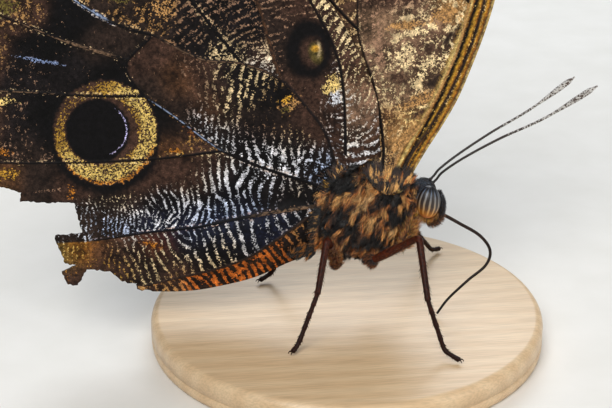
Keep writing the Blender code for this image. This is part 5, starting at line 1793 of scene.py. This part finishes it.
def eye_fringe(name, side, seed):
    """Hairs round the eye: a long golden fringe beneath it, its gold partly painted orange light from below,
    and short dark blue-grey ones over and behind it.
    """
    rng = np.random.default_rng(seed)
    count = 2600
    angle = rng.uniform(20, 340, count)
    below = (angle > 195) & (angle < 325)
    angle = np.radians(angle)
    out = np.stack((np.cos(angle), np.zeros(count), np.sin(angle)), axis=1)
    inset = rng.uniform(-0.9, 0.45, count)
    roots = EYE_CENTRE * (1, 0, 1) + out * EYE_HALF * 0.93
    roots[:, 1] = side * (EYE_CENTRE[1] + inset)
    way = np.where(below[:, None], out * 0.7 + (-0.45, 0.0, -0.55), out * 0.35 + (-0.9, 0.0, -0.25))
    way = unit(way + rng.normal(0, 0.15, (count, 3)) + (0.0, side * 0.2, 0.0))
    length = np.where(below, rng.uniform(0.7, 1.5, count), rng.uniform(0.3, 0.7, count))[:, None]
    # The gold beneath the eye is partly painted orange light from below.
    golden = pick(("amber", "gold", "rust", "honey"), rng.random(count))
    dark = pick(("slate", "dusk", "soot", "bark"), rng.random(count))
    tints = np.where(below[:, None], golden, dark) * rng.uniform(0.6, 1.2, (count, 1))
    spikes(f"fringe_{name}", roots, roots + way * length * 0.5 + out * 0.06, roots + way * length,
           rng.uniform(0.03, 0.05, count), tints, out * 0.1)


eye_lens = eye_finish()
for word, side in SIDES:
    eye(f"eye_{word}", side, eye_lens)
    eye_fringe(f"eye_{word}", side, 160 + side)
print("eyes set")

# %% [markdown]
# ## Palps, antennae and feeding tube
# Two hairy palps stand up in front of the face and guard the feeding tube, which reaches forward and
# down like a bent straw. The antennae are strings of tiny joints that swell into a slender club, dark
# at the root and dusted with pale scales further out.

# %% Palps
PALP_LINE = [
    (12.5, 0.75, 20), (13.1, 0.9, 19.4), (14, 1.05, 19.9), (14.6, 1.05, 21.1), (14.85, 1.05, 22.6),
    (14.6, 1, 24),
]
for word, side in SIDES:
    line = smooth_line([(x, side * y, z) for x, y, z in PALP_LINE], 0.1)
    radii = np.interp(np.linspace(0, 1, len(line)), (0, 0.25, 0.6, 0.85, 1), (0.2, 0.3, 0.3, 0.24, 0.08))
    furry_core(f"palp_{word}", line, radii, "bark")
    bristle(f"fur_palp_{word}", line, radii, 1300, (0.25, 0.5), 0.035, ("soot", "slate", "umber", "bark"),
            120 + side, reach=(0.4, 1.0))
    bristle(f"fur_chin_{word}", line, radii, 900, (0.5, 1.0), 0.04, ("rust", "ochre", "earth", "soot"),
            124 + side, (-0.4, 0, -1.6), (0.0, 0.5))
print("palps built")

# %% Antennae
ANTENNA_BASE = np.array((12.95, 0.8, 25.98))
ANTENNA_REACH = {"right": (23.25, -6.2, 17.27), "left": (23.95, 6.5, 13.57)}
ANTENNA_BENDS = [(0.0, 0.0), (0.03, 0.05), (0.07, 0.125), (0.2, 0.27), (0.42, 0.47), (0.7, 0.69), (1.0, 1.0)]
ANTENNA_RADIUS, CLUB_RADIUS, CLUB_SHARE = 0.2, 0.46, 0.28


def antenna_finish():
    """Dark joints dusted with pale scales towards the club."""
    material, tree, shader = new_finish("antenna_shell", 0.5)
    along = stored(tree, "along")
    speck = grain_random(tree, 5200.0)
    dusted = calculate(tree, "SUBTRACT", rescale(tree, along, 0.3, 0.75, -0.2, 0.62), speck)
    shown = rescale(tree, dusted, -0.05, 0.12, smooth=True)
    bare = ramp(tree, along, [(0.0, TONES["soot"]), (0.45, TONES["bark"]), (1.0, TONES["umber"])])
    plug(tree, shader.inputs["Base Color"], blend_colours(tree, shown, bare, tone(186, 184, 180)))
    raise_surface(tree, shader, speck, 0.00003, 0.5)
    return material


antenna_shell = antenna_finish()
for word, side in SIDES:
    start = ANTENNA_BASE * (1, side, 1)
    reach = np.array(ANTENNA_REACH[word])
    line = smooth_line([start + reach * (out, out, up) for out, up in ANTENNA_BENDS], 0.09)
    share = np.linspace(0, 1, len(line))
    swelling = smooth_step(share, 1 - CLUB_SHARE, 1 - CLUB_SHARE / 3)
    tip = 1 - 0.7 * smooth_step(share, 1 - CLUB_SHARE / 5, 1.0)
    beads = 1 - 0.16 * (np.arange(len(line)) % 4 == 0)
    socket = 1 + 0.6 * (1 - smooth_step(share, 0.0, 0.02))
    radii = (ANTENNA_RADIUS + (CLUB_RADIUS - ANTENNA_RADIUS) * swelling) * tip * beads * socket
    shell(f"antenna_{word}", *tube(line, radii), antenna_shell)
print("antennae built")

# %% Feeding tube
PROBOSCIS_LINE = [
    (13.55, 0, 21), (14.8, 0, 20.5), (17.5, -0.9, 19.1), (20.6, -1.9, 17.3), (22.2, -2.6, 15),
    (21.5, -3.2, 12.7), (18.5, -3.9, 10.5), (15.4, -4.6, 7.9), (13.6, -5, 5.62),
]
line = smooth_line(PROBOSCIS_LINE, 0.1)
radii = (0.29 - 0.09 * np.linspace(0, 1, len(line))) * (1 - 0.1 * (np.arange(len(line)) % 3 == 0))
points, faces, along = tube(line, radii, 14)
above_sole(points)
shell("proboscis", points, faces, along, chitin_finish("tube_shell", "soot", "umber", 0.35))
print("feeding tube bent")

# %% [markdown]
# ## Wooden base
# With its weight so far back the butterfly would tip over, so the model stands on a turned disc. It is
# spun from a profile with an eased edge and a fine bead, at the size of the solid base, and gets
# growth rings from a wave texture stretched along the grain.

# %% Turned disc
BASE_PROFILE = [
    (0, 0), (30.5, 0), (30.9, 0.35), (31, 0.9), (31, 1.5), (30.8, 1.68), (30.8, 1.9), (31, 2.1), (31, 3.7),
    (30.88, 4.2), (30.6, 4.6), (30.2, 4.88), (29.7, 5), (0, 5),
]


BASE_AROUND = 192
WOOD_TONES = [(0.2, tone(206, 176, 138)), (0.5, tone(211, 182, 144)), (0.8, tone(216, 189, 152))]


def wood_finish():
    """Pale maple with growth rings, pores and a satin finish."""
    material, tree, shader = new_finish("turned_wood", 0.42, Coat_Weight=0.15, Coat_Roughness=0.3)
    place = object_place(tree)
    along = add(tree, "Mapping", Vector=place, Scale=(0.16, 1, 1), Rotation=(0, 0.06, 0.12)).outputs[0]
    rings = add(tree, "TexWave", {"wave_type": "BANDS", "bands_direction": "Y"}, Vector=along, Scale=95.0,
                Distortion=6.0, Detail=3.0, Detail_Scale=1.5).outputs["Fac"]
    share = calculate(tree, "MULTIPLY", calculate(tree, "ADD", rings, noise(tree, 60.0, place=along)), 0.5)
    drawn_out = add(tree, "Mapping", Vector=place, Scale=(0.05, 1, 1)).outputs[0]
    fibre = noise(tree, 3800.0, place=drawn_out)
    pores = rescale(tree, fibre, 0.35, 0.6, 0.86, 1.03)
    plug(tree, shader.inputs["Base Color"], shaded(tree, ramp(tree, share, WOOD_TONES), pores))
    raise_surface(tree, shader, fibre, 0.00003, 0.4)
    return material


def turned(profile, around):
    """Closed solid spun from a profile of (radius, height)."""
    angles = np.arange(around) / around * math.tau
    rings = [np.stack((np.cos(angles) * radius, np.sin(angles) * radius, np.full(around, height)), axis=1)
             for radius, height in profile if radius > 0]
    ends = [(0.0, 0.0, profile[0][1]), (0.0, 0.0, profile[-1][1])]
    return np.vstack(rings + [ends]), ring_faces(len(rings), around)


points, faces = turned(BASE_PROFILE, BASE_AROUND)
disc = new_piece("turned_base", points, faces, wood_finish())
disc.data.set_sharp_from_angle(angle=math.radians(50))
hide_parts("stand_base")
print("base turned")
